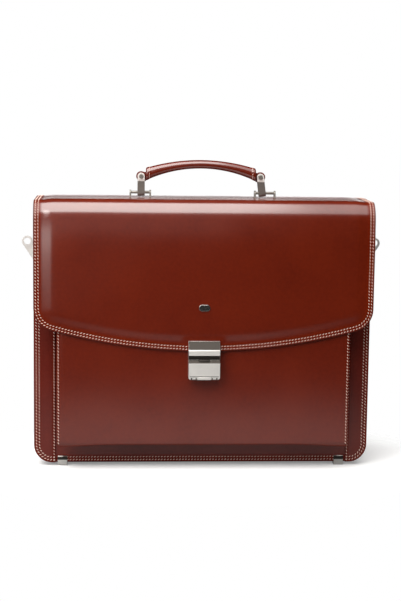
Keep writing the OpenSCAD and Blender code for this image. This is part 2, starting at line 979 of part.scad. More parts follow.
module front_feet() feet(y_wall, 1);
module rear_feet() feet(y_back, -1);

back_panel();
back_board();
back_lining();
front_wall();
front_board();
front_lining();
left_gusset();
right_gusset();
base_panel();
base_board();
divider();
left_side_strip();
right_side_strip();
pocket_panel();
pocket_left_gusset();
pocket_right_gusset();
pocket_base();
lock_case();
lock_backplate();
lock_screws();
lock_spring();
left_lug();
right_lug();
lug_rivets();
front_feet();
rear_feet();
top_panel();
top_board();
left_bracket();
right_bracket();
left_bar();
right_bar();
bracket_rivets();
flap_panel();
flap_lining();
hasp();
hasp_tongue();
hasp_backplate();
hasp_rivets();
flap_stud();
grip_core();
grip_cover();
left_end_tab();
right_end_tab();
left_rivet();
right_rivet();
left_link();
right_link();
lock_button();
latch_bar();
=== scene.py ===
"""Looks of a structured leather flap briefcase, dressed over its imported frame.

Lengths are metres. X runs across the case, -Y is its front and +Z is up.
"""
import logging
import math
from dataclasses import dataclass, field
from enum import Enum, IntEnum
from typing import Callable, NamedTuple, Sequence

import bmesh
import bpy
import numpy as np
from mathutils import Matrix, Vector, noise


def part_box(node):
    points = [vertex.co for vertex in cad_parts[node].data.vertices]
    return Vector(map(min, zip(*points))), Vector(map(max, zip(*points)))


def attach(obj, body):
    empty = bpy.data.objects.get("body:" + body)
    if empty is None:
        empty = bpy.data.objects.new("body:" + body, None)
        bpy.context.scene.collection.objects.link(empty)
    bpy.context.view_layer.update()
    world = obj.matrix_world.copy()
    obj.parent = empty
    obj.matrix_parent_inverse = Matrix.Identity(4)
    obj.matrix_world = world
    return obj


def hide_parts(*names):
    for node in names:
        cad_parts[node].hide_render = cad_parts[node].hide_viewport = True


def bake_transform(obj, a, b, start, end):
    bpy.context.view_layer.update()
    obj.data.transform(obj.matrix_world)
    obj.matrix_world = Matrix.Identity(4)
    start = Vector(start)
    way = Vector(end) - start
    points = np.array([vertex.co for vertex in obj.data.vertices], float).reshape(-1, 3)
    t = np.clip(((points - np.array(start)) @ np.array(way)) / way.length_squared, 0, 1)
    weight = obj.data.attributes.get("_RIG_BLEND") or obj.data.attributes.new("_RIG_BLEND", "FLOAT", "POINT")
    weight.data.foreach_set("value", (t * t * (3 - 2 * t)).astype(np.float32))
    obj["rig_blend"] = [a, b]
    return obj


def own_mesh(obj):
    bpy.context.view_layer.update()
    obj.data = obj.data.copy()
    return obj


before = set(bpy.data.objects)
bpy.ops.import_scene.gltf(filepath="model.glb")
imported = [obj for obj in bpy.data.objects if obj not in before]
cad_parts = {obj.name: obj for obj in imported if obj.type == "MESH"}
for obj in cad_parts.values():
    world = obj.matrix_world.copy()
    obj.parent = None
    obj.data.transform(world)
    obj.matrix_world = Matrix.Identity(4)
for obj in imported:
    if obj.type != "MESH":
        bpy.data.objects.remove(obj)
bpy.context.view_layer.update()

MM = 0.001
QUARTER = math.pi / 2
HIDE_T = 3 * MM
CLOTH_T = 1 * MM
# Points that lie closer than this are one: in copies of nodes, and in tubes.
MERGE_GAP = 1e-6
WELD_GAP = 1e-7
# A short step that finds a direction on a surface.
PROBE = 1e-4
# Vertex attribute of leather: 1 at the panel's edge, falling to 0 inside.
NEAR = "near_edge"
LOG = logging.getLogger("briefcase")

Point = tuple[float, float]
Place = tuple[float, float, float]
Colour = tuple[float, float, float, float]
Relief = Callable[[float, float], float]


def smooth_step(value: float) -> float:
    """Returns 0 below 0, 1 above 1 and a smooth rise between them."""
    t = min(max(value, 0.0), 1.0)
    return t * t * (3 - 2 * t)


def darker(colour: Colour, share: float) -> Colour:
    """Returns a colour at a share of its brightness."""
    return tuple(c * share for c in colour[:3]) + (1.0,)


def grey(tone: float) -> Colour:
    """Returns an even grey."""
    return (tone, tone, tone, 1.0)


def arc(centre: Point, radius: float, start: float, end: float, count: int) -> list[Point]:
    """Draws an arc.

    Args:
        centre: Middle of the circle.
        radius: Its radius.
        start: First angle in degrees.
        end: Last angle in degrees.
        count: Number of stretches.

    Returns:
        count + 1 points, both ends included.
    """
    turns = [math.radians(start + (end - start) * k / count) for k in range(count + 1)]
    return [(centre[0] + radius * math.cos(t), centre[1] + radius * math.sin(t)) for t in turns]


class Span(NamedTuple):
    """The box of a node, as its lowest and highest corners."""

    low: Vector
    high: Vector

    @classmethod
    def of(cls, node: str) -> "Span":
        """Returns the box of a node of the frame."""
        return cls(*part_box(node))

    @property
    def middle(self) -> Vector:
        """Returns the box's middle."""
        return (self.low + self.high) / 2


class Body(Enum):
    """The bodies of the frame that pieces ride on."""

    CASE = "case"
    FLAP_TOP = "flap_top"
    FLAP_FRONT = "flap_front"
    HANDLE = "handle"
    LEFT_LINK = "left_link"
    RIGHT_LINK = "right_link"
    BUTTON = "button"


class Slot(Enum):
    """The record's material slots for new pieces, which nothing here sets."""

    LEATHER = "leather"
    DARK_LEATHER = "dark_leather"
    LINING = "lining"
    NICKEL = "nickel"
    SPRING = "spring"


class Value:
    """A shader value that takes part in Python arithmetic."""

    def __init__(self, graph: "Graph", socket: bpy.types.NodeSocket) -> None:
        """Keeps the graph and the socket that the value comes out of."""
        self.graph = graph
        self.socket = socket

    def _maths(self, operation: str, first: "Value | float", second: "Value | float") -> "Value":
        """Adds a Math node and returns its result."""
        return self.graph.node("ShaderNodeMath", {"operation": operation}, {0: first, 1: second})

    def __add__(self, other: "Value | float") -> "Value":
        """Returns self + other."""
        return self._maths("ADD", self, other)

    __radd__ = __add__

    def __mul__(self, other: "Value | float") -> "Value":
        """Returns self * other."""
        return self._maths("MULTIPLY", self, other)

    __rmul__ = __mul__

    def __sub__(self, other: "Value | float") -> "Value":
        """Returns self - other."""
        return self._maths("SUBTRACT", self, other)

    def __rsub__(self, other: "Value | float") -> "Value":
        """Returns other - self."""
        return self._maths("SUBTRACT", other, self)

    def smallest(self, other: "Value | float") -> "Value":
        """Returns the smaller of the two."""
        return self._maths("MINIMUM", self, other)


class Graph:
    """A node tree under construction."""

    def __init__(self, tree: bpy.types.NodeTree) -> None:
        """Empties the tree and keeps it."""
        tree.nodes.clear()
        self.tree = tree

    def node(self, kind: str, settings: dict | None = None, inputs: dict | None = None,
             out: int | str = 0) -> Value | None:
        """Adds one node.

        Args:
            kind: The node's type.
            settings: Its properties. A ramp's stops are a list of place and colour.
            inputs: Values or links for its sockets, by name or number.
            out: The output that is wanted.

        Returns:
            That output, or None where the node has no outputs.
        """
        node = self.tree.nodes.new(kind)
        for key, value in (settings or {}).items():
            if key == "stops":
                ramp = node.color_ramp.elements
                while len(ramp) < len(value):
                    ramp.new(0.5)
                for stop, (place, colour) in zip(ramp, value):
                    stop.position = place
                    stop.color = colour
            else:
                setattr(node, key, value)
        for key, value in (inputs or {}).items():
            if isinstance(value, Value):
                self.tree.links.new(value.socket, node.inputs[key])
            else:
                node.inputs[key].default_value = value
        return Value(self, node.outputs[out]) if len(node.outputs) else None

    def place(self) -> Value:
        """Returns the place on the object."""
        return self.node("ShaderNodeTexCoord", out="Object")

    def ray(self, kind: str) -> Value:
        """Returns 1 for a ray of a kind, such as Is Camera Ray, and 0 for all others."""
        return self.node("ShaderNodeLightPath", out=kind)

    def blend(self, factor: Value | float, first: Value | Colour, second: Value | Colour) -> Value:
        """Returns a mix of two colours."""
        return self.node("ShaderNodeMix", {"data_type": "RGBA"},
                         {"Factor": factor, 6: first, 7: second}, out=2)

    def mix(self, factor: Value, first: Value, second: Value) -> Value:
        """Returns a mix of two shaders."""
        return self.node("ShaderNodeMixShader", {}, {0: factor, 1: first, 2: second})

    def speckle(self, place: Value, scale: float, detail: float = 2.0) -> Value:
        """Returns noise from 0 to 1 over a place."""
        return self.node("ShaderNodeTexNoise", {},
                         {"Vector": place, "Scale": scale, "Detail": detail})

    def ramp(self, value: Value, low: float, high: float) -> Value:
        """Returns a smooth rise from 0 at low to 1 at high."""
        return self.node("ShaderNodeMapRange", {"interpolation_type": "SMOOTHSTEP"},
                         {"Value": value, "From Min": low, "From Max": high})

    def bump(self, height: Value, depth: float) -> Value:
        """Returns a normal that is raised by a height, depth metres at 1."""
        return self.node("ShaderNodeBump", {}, {"Height": height, "Strength": 1.0, "Distance": depth})

    def principled(self, inputs: dict) -> None:
        """Adds the surface shader and the output."""
        shader = self.node("ShaderNodeBsdfPrincipled", {}, inputs)
        self.node("ShaderNodeOutputMaterial", {}, {"Surface": shader})


def new_graph(name: str) -> tuple[bpy.types.Material, Graph]:
    """Makes a material.

    Args:
        name: Its name.

    Returns:
        The material and its empty graph.
    """
    material = bpy.data.materials.new(name)
    material.use_nodes = True
    return material, Graph(material.node_tree)


@dataclass(frozen=True)
class Leather:
    """Polished calf leather with fine pores, clouded dye and burnished edges.

    deep and warm are the dye's two shades, and burnt is the shade of the rim. The scales are
    those of the noise that makes the clouds, the mottle, the grain and the pores.
    """

    name: str
    deep: Colour
    warm: Colour
    burnt: Colour
    roughness: float = 0.42
    specular: float = 0.08
    polish: float = 0.185
    shine: float = 0.9
    sewn_dull: float = 0.75
    coat_ior: float = 2.1
    cloud_scale: float = 16.0
    mottle_scale: float = 240.0
    grain_scale: float = 1900.0
    pore_scale: float = 1050.0
    pore_wall: float = 0.2
    pore_depth: float = 0.00004
    dye_low: float = 0.32
    dye_high: float = 0.72
    rim_from: float = 0.92
    seam_from: float = 0.42
    seam_to: float = 0.62

    def material(self) -> bpy.types.Material:
        """Makes the leather's material.

        Returns:
            The material.
        """
        material, graph = new_graph(self.name)
        place = graph.place()
        cloud = graph.speckle(place, self.cloud_scale, 3.0)
        mottle = graph.speckle(place, self.mottle_scale, 4.0)
        grain = graph.speckle(place, self.grain_scale, 2.0)
        cells = graph.node("ShaderNodeTexVoronoi", {"feature": "DISTANCE_TO_EDGE"},
                           {"Vector": place, "Scale": self.pore_scale})
        stops = [(self.dye_low, self.deep), (self.dye_high, self.warm)]
        dye = graph.node("ShaderNodeValToRGB", {"stops": stops}, {"Fac": cloud * 0.55 + mottle * 0.45})
        near = graph.node("ShaderNodeAttribute", {"attribute_name": NEAR}, {}, out="Fac")
        rim = graph.ramp(near, self.rim_from, 1.0)
        seam = graph.ramp(near, self.seam_from, self.seam_to)
        height = cells.smallest(self.pore_wall) * 2.2 + grain * 0.5 + mottle * 0.35
        graph.principled({
            "Base Color": graph.blend(rim * 0.65, dye, self.burnt),
            "Roughness": mottle * 0.1 + (self.roughness - 0.05) + rim * 0.08,
            "Normal": graph.bump(height, self.pore_depth), "Specular IOR Level": self.specular,
            "Coat Weight": (cloud * 0.1 + self.shine) * (1.0 - seam * self.sewn_dull),
            "Coat Roughness": self.polish, "Coat IOR": self.coat_ior})
        return material


@dataclass(frozen=True)
class Fibrous:
    """Finish of fine fibres in two shades of one colour.

    shade is the darker one's share of the colour, spread is what the fibres add to the
    roughness, and depth is how far they stand out.
    """

    name: str
    colour: Colour
    scale: float
    detail: float
    shade: float
    roughness: float
    spread: float
    depth: float

    def material(self) -> bpy.types.Material:
        """Makes the finish's material.

        Returns:
            The material.
        """
        material, graph = new_graph(self.name)
        fibre = graph.speckle(graph.place(), self.scale, self.detail)
        graph.principled({
            "Base Color": graph.blend(fibre, darker(self.colour, self.shade), self.colour),
            "Roughness": fibre * self.spread + self.roughness,
            "Normal": graph.bump(fibre, self.depth)})
        return material


@dataclass(frozen=True)
class EdgePaint(Fibrous):
    """Waxed and painted cut edge of leather."""

    scale: float = 700.0
    detail: float = 4.0
    shade: float = 0.6
    roughness: float = 0.35
    spread: float = 0.2
    depth: float = 0.0001


@dataclass(frozen=True)
class Thread(Fibrous):
    """Waxed sewing thread with a tight twist."""

    scale: float = 2600.0
    detail: float = 2.0
    shade: float = 0.68
    roughness: float = 0.45
    spread: float = 0.2
    depth: float = 0.00008


@dataclass(frozen=True)
class Board(Fibrous):
    """Pressed grey fibre board."""

    scale: float = 420.0
    detail: float = 5.0
    shade: float = 0.7
    roughness: float = 0.85
    spread: float = 0.1
    depth: float = 0.00015


@dataclass(frozen=True)
class Cloth:
    """Tightly woven lining cloth, a twill by its slanted ribs."""

    name: str
    dark: Colour
    light: Colour
    threads: float = 1400.0
    rib_threads: float = 6.0
    cross_threads: float = 4.0
    worn_scale: float = 30.0
    roughness: float = 0.8
    depth: float = 0.00012
    sheen: float = 0.15

    def material(self) -> bpy.types.Material:
        """Makes the cloth's material.

        Returns:
            The material.
        """
        material, graph = new_graph(self.name)
        place = graph.place()
        ribs = graph.node("ShaderNodeTexWave", {"bands_direction": "DIAGONAL"},
                          {"Vector": place, "Scale": self.threads / self.rib_threads,
                           "Distortion": 1.2, "Detail": 2.0, "Detail Scale": 3.0})
        cross = graph.node("ShaderNodeTexWave", {"bands_direction": "Z"},
                           {"Vector": place, "Scale": self.threads / self.cross_threads,
                            "Distortion": 0.6})
        worn = graph.speckle(place, self.worn_scale, 3.0)
        weave = ribs * 0.6 + cross * 0.4
        graph.principled({
            "Base Color": graph.blend(weave * 0.6 + worn * 0.4, self.dark, self.light),
            "Roughness": worn * 0.1 + self.roughness, "Normal": graph.bump(weave, self.depth),
            "Sheen Weight": self.sheen})
        return material


@dataclass(frozen=True)
class Plate:
    """Nickel plate, from a mirror to a satin finish with faint brush lines."""

    name: str
    colour: Colour
    roughness: float
    brush: float = 0.0
    dull: float = 0.86
    haze_scale: float = 90.0
    line_scale: Place = (60.0, 2400.0, 2400.0)
    line_depth: float = 0.00001

    def material(self) -> bpy.types.Material:
        """Makes the metal's material.

        Returns:
            The material.
        """
        material, graph = new_graph(self.name)
        place = graph.place()
        stretched = graph.node("ShaderNodeMapping", {}, {"Vector": place, "Scale": self.line_scale})
        lines = graph.speckle(stretched, 1.0, 2.0)
        haze = graph.speckle(place, self.haze_scale, 3.0)
        graph.principled({
            "Base Color": graph.blend(haze, darker(self.colour, self.dull), self.colour),
            "Metallic": 1.0,
            "Roughness": haze * 0.08 + lines * self.brush * 0.2 + self.roughness,
            "Normal": graph.bump(lines, self.line_depth * self.brush)})
        return material


class Finishes:
    """Every material of the case, made once.

    A hide takes three of them: its outer face, its cut edge and its inner face.
    """

    def __init__(self) -> None:
        """Makes the materials."""
        burnt = (0.035, 0.006, 0.004, 1.0)
        self.leather = Leather("calf_polished", (0.114, 0.0073, 0.0002, 1),
                               (0.155, 0.0117, 0.0006, 1), burnt).material()
        self.dark_leather = Leather("calf_dark", (0.104, 0.0086, 0.0036, 1),
                                    (0.148, 0.0136, 0.006, 1), burnt, shine=0.4).material()
        self.edge = EdgePaint("edge_paint", (0.06, 0.012, 0.009, 1)).material()
        self.suede = Cloth("lining_cloth", (0.05, 0.022, 0.012, 1), (0.10, 0.05, 0.03, 1)).material()
        self.thread = Thread("waxed_thread", (0.9, 0.64, 0.54, 1)).material()
        self.satin = Plate("satin_nickel", (0.97, 0.95, 0.925, 1), 0.66, 0.6).material()
        # Painted highlight: a glossier copy of the nickel for the bright bands of the hasp, lock and feet.
        self.bright = Plate("bright_nickel", (0.8, 0.77, 0.73, 1), 0.3).material()
        self.grey = Plate("grey_nickel", (0.34, 0.32, 0.29, 1), 0.4, 1.0).material()
        self.polished = Plate("polished_nickel", (0.62, 0.6, 0.57, 1), 0.2).material()
        # Painted half shade and painted shade: darker copies of the nickel for bands of the hasp, lock, feet
        # and links, and for the lock's shadow line and recesses.
        self.painted_half_shade = Plate("smoky_nickel", (0.26, 0.235, 0.215, 1), 0.42, 1.0).material()
        self.painted_shade_metal = Plate("shaded_nickel", (0.085, 0.075, 0.067, 1), 0.45, 0.5).material()
        self.steel = Plate("spring_steel", (0.45, 0.45, 0.46, 1), 0.28).material()
        self.board = Board("fibre_board", (0.3, 0.28, 0.25, 1)).material()
        self.outer_hide = [self.leather, self.edge, self.dark_leather]
        self.inner_hide = [self.dark_leather, self.edge, self.dark_leather]
        self.flap_hide = [self.leather, self.edge, self.suede]
        self.cloth = [self.suede] * 3


class Run(NamedTuple):
    """One stretch of a track: its length, and how far it turns to the left in all."""

    length: float
    turn: float = 0.0


class Plane(Enum):
    """The plane that a track is drawn in."""

    DEPTH_HEIGHT = 0
    WIDTH_HEIGHT = 1


@dataclass(frozen=True)
class Sheet:
    """A surface that bends one way only: a track drawn out across its plane.

    side is 1 where the outer face lies to the left of the track and -1 to its right.
    """

    plane: Plane
    start: Point
    heading: float
    runs: tuple[Run, ...]
    side: int = 1

    def walk(self, s: float) -> Place:
        """Follows the track.

        Args:
            s: Length along the track.

        Returns:
            The two coordinates there and the heading.
        """
        a, b = self.start
        heading, left = self.heading, s
        for index, run in enumerate(self.runs):
            last = index == len(self.runs) - 1
            step = left if last else min(left, run.length)
            if run.turn:
                radius = run.length / run.turn
                ahead = heading + step / radius
                a += radius * (math.sin(ahead) - math.sin(heading))
                b -= radius * (math.cos(ahead) - math.cos(heading))
                heading = ahead
            else:
                a += step * math.cos(heading)
                b += step * math.sin(heading)
            left -= step
            if left <= 0:
                break
        return a, b, heading

    def place(self, u: float, s: float, h: float) -> Vector:
        """Puts a flat point on the surface.

        Args:
            u: Place across the plane.
            s: Length along the track.
            h: Height over the outer face.

        Returns:
            The point in the case's frame.
        """
        a, b, heading = self.walk(s)
        a -= self.side * h * math.sin(heading)
        b += self.side * h * math.cos(heading)
        if self.plane is Plane.DEPTH_HEIGHT:
            return Vector((u, a, b))
        return Vector((a, u, b))


def flat_sheet(y: float, side: int) -> Sheet:
    """Returns an upright sheet at a depth, side 1 facing the front. s is the height."""
    return Sheet(Plane.DEPTH_HEIGHT, (y, 0.0), QUARTER, (Run(1.0),), side)


# Lines of points on a crown, as shares of its edge, of half a groove and of its ramp.
EDGE_RINGS = (0.06, 0.22, 0.5, 1.0)
GROOVE_RINGS = (-1.0, -0.5, 0.0, 0.5, 1.0)
RAMP_RINGS = (0.0, 0.12, 0.26, 0.42, 0.58, 0.76, 1.0)


@dataclass(frozen=True)
class Crown:
    """Relief of a padded and sewn panel, by the distance from its edge.

    The panel lies at its full height inside, and steps down over a ramp to a flat border that
    is sewn. edge is the radius of its rim, and rows are the distances of the stitch rows, each
    of which lies in a groove. reach is how far from the edge the leather's finish notices it.
    """

    edge: float = 0.9 * MM
    border: float = 8.5 * MM
    ramp: float = 15 * MM
    step: float = 1.25 * MM
    rows: tuple[float, ...] = (2.9 * MM, 6.1 * MM)
    groove: float = 0.28 * MM
    groove_half: float = 0.9 * MM
    reach: float = 20 * MM

    def rings(self) -> list[float]:
        """Finds where the panel needs a line of points.

        Returns:
            Distances from its edge, the least one first.
        """
        found = {self.edge * share for share in EDGE_RINGS}
        for row in self.rows:
            found |= {row + self.groove_half * share for share in GROOVE_RINGS}
        if self.step:
            found |= {self.border + self.ramp * share for share in RAMP_RINGS}
        return sorted(found)

    def rounding(self, distance: float) -> float:
        """Returns how far the rounded edge falls away from the face."""
        share = max(0.0, 1 - distance / self.edge)
        return self.edge * (1 - math.sqrt(max(0.0, 1 - share * share)))

    def height(self, distance: float) -> float:
        """Measures the outer face.

        Args:
            distance: Distance from the panel's edge.

        Returns:
            The height of the face, 0 inside and below 0 near the edge.
        """
        down = self.rounding(distance)
        for row in self.rows:
            away = (distance - row) / self.groove_half
            if abs(away) < 1:
                down += self.groove * (1 - away * away) ** 2
        if self.step:
            down += self.step * (1 - smooth_step((distance - self.border) / self.ramp))
        return -down


PLAIN = Crown(rows=(), step=0.0, edge=0.5 * MM, reach=5 * MM)


# The least cosine by which a mitred corner is drawn out.
MITRE_LIMIT = 0.4


def distance_to(points: np.ndarray, line: Sequence[Point]) -> np.ndarray:
    """Measures how far points lie from a line.

    Args:
        points: Flat points, one in each row.
        line: Corners of a line of straight stretches.

    Returns:
        Each point's distance to the line.
    """
    corners = np.array(line)
    start, along = corners[:-1], corners[1:] - corners[:-1]
    squared = np.maximum((along * along).sum(1), np.finfo(float).tiny)
    best = np.full(len(points), np.inf)
    for origin, step, size in zip(start, along, squared):
        share = np.clip(((points - origin) @ step) / size, 0, 1)
        gap = np.hypot(*(points - origin - share[:, None] * step).T)
        best = np.minimum(best, gap)
    return best


def inset_line(line: Sequence[Point], distance: float) -> list[Point]:
    """Moves a line to its left, with mitred corners.

    Args:
        line: The line.
        distance: How far it moves.

    Returns:
        The moved line, with as many points.
    """
    moved = []
    for index, point in enumerate(line):
        here = Vector(point)
        before = Vector(line[max(index - 1, 0)])
        after = Vector(line[min(index + 1, len(line) - 1)])
        first = (here - before).normalized() if index else (after - here).normalized()
        second = (after - here).normalized() if index < len(line) - 1 else first
        left = Vector((-(first.y + second.y), first.x + second.x)).normalized()
        share = max(MITRE_LIMIT, left.dot(Vector((-first.y, first.x))))
        moved.append(tuple(here + left * distance / share))
    return moved


def mirrored(line: Sequence[Point]) -> list[Point]:
    """Returns a line on the case's other half, in the opposite order."""
    return [(-u, s) for u, s in reversed(line)]


def rectangle(low: float, high: float, length: float, clockwise: bool = False) -> list[Point]:
    """Draws the outline of a straight panel.

    Args:
        low: Its least place across the sheet.
        high: Its greatest place across the sheet.
        length: Its length along the track.
        clockwise: Whether the corners run clockwise.

    Returns:
        The four corners.
    """
    corners = [(low, 0.0), (high, 0.0), (high, length), (low, length)]
    return corners[::-1] if clockwise else corners


def cut(bm: bmesh.types.BMesh, axis: int, level: float, clear: bool = False) -> None:
    """Divides the faces of a mesh at a level.

    Args:
        bm: The mesh.
        axis: Number of the axis that the cut is square to.
        level: Place on the axis.
        clear: Whether what lies past the cut goes.
    """
    normal = Vector((0.0, 0.0, 0.0))
    normal[axis] = 1.0
    bmesh.ops.bisect_plane(bm, geom=bm.verts[:] + bm.edges[:] + bm.faces[:], dist=MERGE_GAP,
                           plane_co=normal * level, plane_no=normal, clear_outer=clear)


def top_fall(y: float) -> float:
    """Returns how far the top lies below its crest at a depth: it slopes a little to the back."""
    start, run, fall = -12 * MM, 60 * MM, 1.9 * MM
    return fall * min(max((y - start) / run, 0.0), 1.0) ** 5


def add_object(name: str, data: bpy.types.ID) -> bpy.types.Object:
    """Adds an object to the scene, at the origin.

    Args:
        name: Its name.
        data: Its mesh, lamp or camera.

    Returns:
        The object.
    """
    made = bpy.data.objects.new(name, data)
    bpy.context.scene.collection.objects.link(made)
    return made


def tidy_object(name: str, bm: bmesh.types.BMesh, materials: Sequence[bpy.types.Material],
                sharp: float = 40.0) -> bpy.types.Object:
    """Turns a closed bmesh into a shaded object at the origin.

    Args:
        name: The piece's name.
        bm: Its shape, which is freed.
        materials: Its materials, by face index.
        sharp: Edges that turn by more than this many degrees stay sharp.

    Returns:
        The object.
    """
    bmesh.ops.recalc_face_normals(bm, faces=bm.faces)
    mesh = bpy.data.meshes.new(name)
    bm.to_mesh(mesh)
    bm.free()
    mesh.shade_smooth()
    mesh.set_sharp_from_angle(angle=math.radians(sharp))
    for material in materials:
        mesh.materials.append(material)
    return add_object(name, mesh)


@dataclass
class Bend:
    """The stretch over which a piece turns from one body to the next."""

    first: Body
    second: Body
    start: Vector
    end: Vector


def dress(piece: bpy.types.Object, body: Body | Bend, slot: Slot, *nodes: str) -> bpy.types.Object:
    """Ties a finished piece to the frame.

    Args:
        piece: The piece.
        body: The body that it rides on, or the bend that it follows.
        slot: The record's slot for its finish; it isn't used.
        nodes: The nodes of the frame that it stands for.

    Returns:
        The piece.
    """
    if isinstance(body, Bend):
        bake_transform(piece, body.first.value, body.second.value, start=body.start, end=body.end)
    else:
        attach(piece, body.value)
    if nodes:
        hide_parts(*nodes)
    LOG.info("%s: %d faces", piece.name, len(piece.data.polygons))
    return piece


@dataclass
class Hide:
    """A panel cut flat with a finished edge, shaped on its face and laid on its sheet.

    border runs anticlockwise as seen from the outer face. Where top is set, the border is open
    there and the panel is cut straight across. cell is the width of the grid inside, and rows
    are further lines of it. relief and back shape the outer and the inner face.
    """

    name: str
    sheet: Sheet
    border: list[Point]
    thick: float
    crown: Crown = PLAIN
    top: float | None = None
    cell: float = 8 * MM
    rows: Sequence[float] = ()
    relief: Relief | None = None
    back: Relief | None = None
    waves: float = 0.0
    wave_rate: float = 14.0
    wave_seed: float = 3.7
    wave_fade: float = 30 * MM
    run_out: float = 5 * MM
    least: float = 0.4 * MM
    inner_rounding: float = 0.4

    def _flat(self) -> bmesh.types.BMesh:
        """Cuts the flat panel.

        Returns:
            The panel, with rings along its border and a grid inside.
        """
        bm = bmesh.new()
        bm.verts.layers.float.new(NEAR)
        rings = self.crown.rings()
        outline = list(self.border)
        if self.top is not None:
            past = self.top + (rings[-1] + self.run_out)
            outline = [(outline[0][0], past)] + outline[1:-1] + [(outline[-1][0], past)]
        face = bm.faces.new([bm.verts.new((u, s, 0.0)) for u, s in outline])
        reached = 0.0
        for ring in rings:
            bmesh.ops.inset_region(bm, faces=[face], thickness=ring - reached,
                                   use_even_offset=True, use_boundary=True)
            reached = ring
        if self.top is not None:
            cut(bm, 1, self.top, True)
        for axis, end in ((0, None), (1, self.top)):
            low = min(p[axis] for p in self.border)
            high = max(p[axis] for p in self.border) if end is None else end
            count = max(2, round((high - low) / self.cell))
            for k in range(1, count):
                cut(bm, axis, low + (high - low) * k / count)
        for row in self.rows:
            cut(bm, 1, row)
        return bm

    def surface(self, u: float, s: float, distance: float) -> float:
        """Measures the outer face.

        Args:
            u: Place across the sheet.
            s: Length along the track.
            distance: Distance from the border.

        Returns:
            The height of the face there.
        """
        height = self.crown.height(distance)
        if self.relief:
            height += self.relief(u, s)
        if self.waves:
            inside = smooth_step(distance / self.wave_fade)
            place = Vector((u * self.wave_rate, s * self.wave_rate, self.wave_seed))
            height += self.waves * inside * noise.noise(place)
        return height

    def build(self, materials: Sequence[bpy.types.Material]) -> bpy.types.Object:
        """Makes the panel.

        Args:
            materials: Outer face, cut edge and inner face.

        Returns:
            The finished object.
        """
        bm = self._flat()
        made = bmesh.ops.extrude_face_region(bm, geom=bm.faces[:])["geom"]
        behind = {v for v in made if isinstance(v, bmesh.types.BMVert)}
        for face in bm.faces:
            count = sum(v in behind for v in face.verts)
            face.material_index = 0 if not count else 2 if count == len(face.verts) else 1
        layer = bm.verts.layers.float[NEAR]
        closed = self.border if self.top is not None else self.border + self.border[:1]
        flat = np.array([v.co.xy for v in bm.verts])
        gaps = distance_to(flat, closed)
        for vert, (u, s), gap in zip(bm.verts, flat, gaps):
            height = self.inner_rounding * self.crown.rounding(gap) - self.thick
            if self.back:
                height += self.back(u, s)
            if vert not in behind:
                height = max(self.surface(u, s, gap), height + self.least)
            vert[layer] = max(0.0, 1 - gap / self.crown.reach)
            vert.co = self.sheet.place(u, s, height)
        return tidy_object(self.name, bm, materials)


@dataclass
class Seam:
    """Rows of stitches, gathered into one piece.

    rise and dip are shares of the thread's radius: how high a stitch lies over the leather, and
    how far its ends go down into it. slant is its turn to the row in degrees.
    """

    name: str
    length: float = 2.75 * MM
    radius: float = 0.56 * MM
    pitch: float = 3.85 * MM
    slant: float = 34.0
    rise: float = 0.1
    dip: float = 0.55
    places: list[Matrix] = field(default_factory=list)

    def stitch(self, middle: Vector, along: Vector, out: Vector) -> None:
        """Adds one stitch, a little slanted to its row.

        Args:
            middle: Its middle.
            along: Direction of the row.
            out: Direction away from the leather.
        """
        across = out.cross(along)
        turn = math.radians(self.slant)
        lie = along * math.cos(turn) + across * math.sin(turn)
        turned = Matrix((out.cross(lie), out, lie)).transposed().to_4x4()
        self.places.append(Matrix.Translation(middle) @ turned)

    def sew(self, sheet: Sheet, line: Sequence[Point], height: Relief) -> None:
        """Sews along a flat line.

        Args:
            sheet: The surface that is sewn.
            line: The flat line.
            height: Height of the leather at a flat point.
        """
        points = [Vector(p) for p in line]
        lengths = [(b - a).length for a, b in zip(points, points[1:])]
        count = max(1, round(sum(lengths) / self.pitch))
        pitch = sum(lengths) / count
        index, passed = 0, 0.0
        for k in range(count):
            reach = (k + 0.5) * pitch
            while passed + lengths[index] < reach:
                passed += lengths[index]
                index += 1
            way = (points[index + 1] - points[index]).normalized()
            u, s = points[index] + way * (reach - passed)
            h = height(u, s) + self.rise * self.radius
            middle = sheet.place(u, s, h)
            ahead = sheet.place(u + way.x * PROBE, s + way.y * PROBE, h)
            out = (sheet.place(u, s, h + PROBE) - middle).normalized()
            self.stitch(middle, (ahead - middle).normalized(), out)

    def _shape(self) -> bmesh.types.BMesh:
        """Makes one stitch, whose ends dip into the leather.

        Returns:
            A lozenge of thread along Z that is pulled out to the stitch's length.
        """
        bm = bmesh.new()
        bmesh.ops.create_uvsphere(bm, u_segments=6, v_segments=4, radius=self.radius)
        for vert in bm.verts:
            share = vert.co.z / self.radius
            # The ring round the middle stays where it is.
            if abs(share) > 0.1:
                vert.co.z += math.copysign(self.length / 2 - self.radius, share)
            vert.co.y -= self.dip * self.radius * share * share
        bm.verts.index_update()
        return bm

    def build(self, finishes: Finishes, body: Body | Bend) -> bpy.types.Object:
        """Makes all rows as one piece.

        Args:
            finishes: The materials.
            body: What the leather rides on or follows.

        Returns:
            The dressed stitches.
        """
        shape = self._shape()
        points = np.array([(*v.co, 1.0) for v in shape.verts])
        faces = [[v.index for v in f.verts] for f in shape.faces]
        shape.free()
        places = np.array([[tuple(row) for row in place] for place in self.places])
        verts = np.einsum("kij,nj->kni", places[:, :3], points).reshape(-1, 3)
        shifted = [[i + k * len(points) for i in face] for k in range(len(places)) for face in faces]
        mesh = bpy.data.meshes.new(self.name)
        mesh.from_pydata(verts.tolist(), [], shifted)
        mesh.shade_smooth()
        mesh.materials.append(finishes.thread)
        return dress(add_object(self.name, mesh), body, Slot.LEATHER)


def sew_border(seam: Seam, hide: Hide, line: Sequence[Point] | None = None) -> None:
    """Sews the rows of a panel's crown along its border.

    Args:
        seam: The stitches.
        hide: The panel.
        line: A part of the border, if not all of it is sewn.
    """
    for row in hide.crown.rows:
        seam.sew(hide.sheet, inset_line(line or hide.border, row),
                 lambda u, s, row=row: hide.surface(u, s, row))


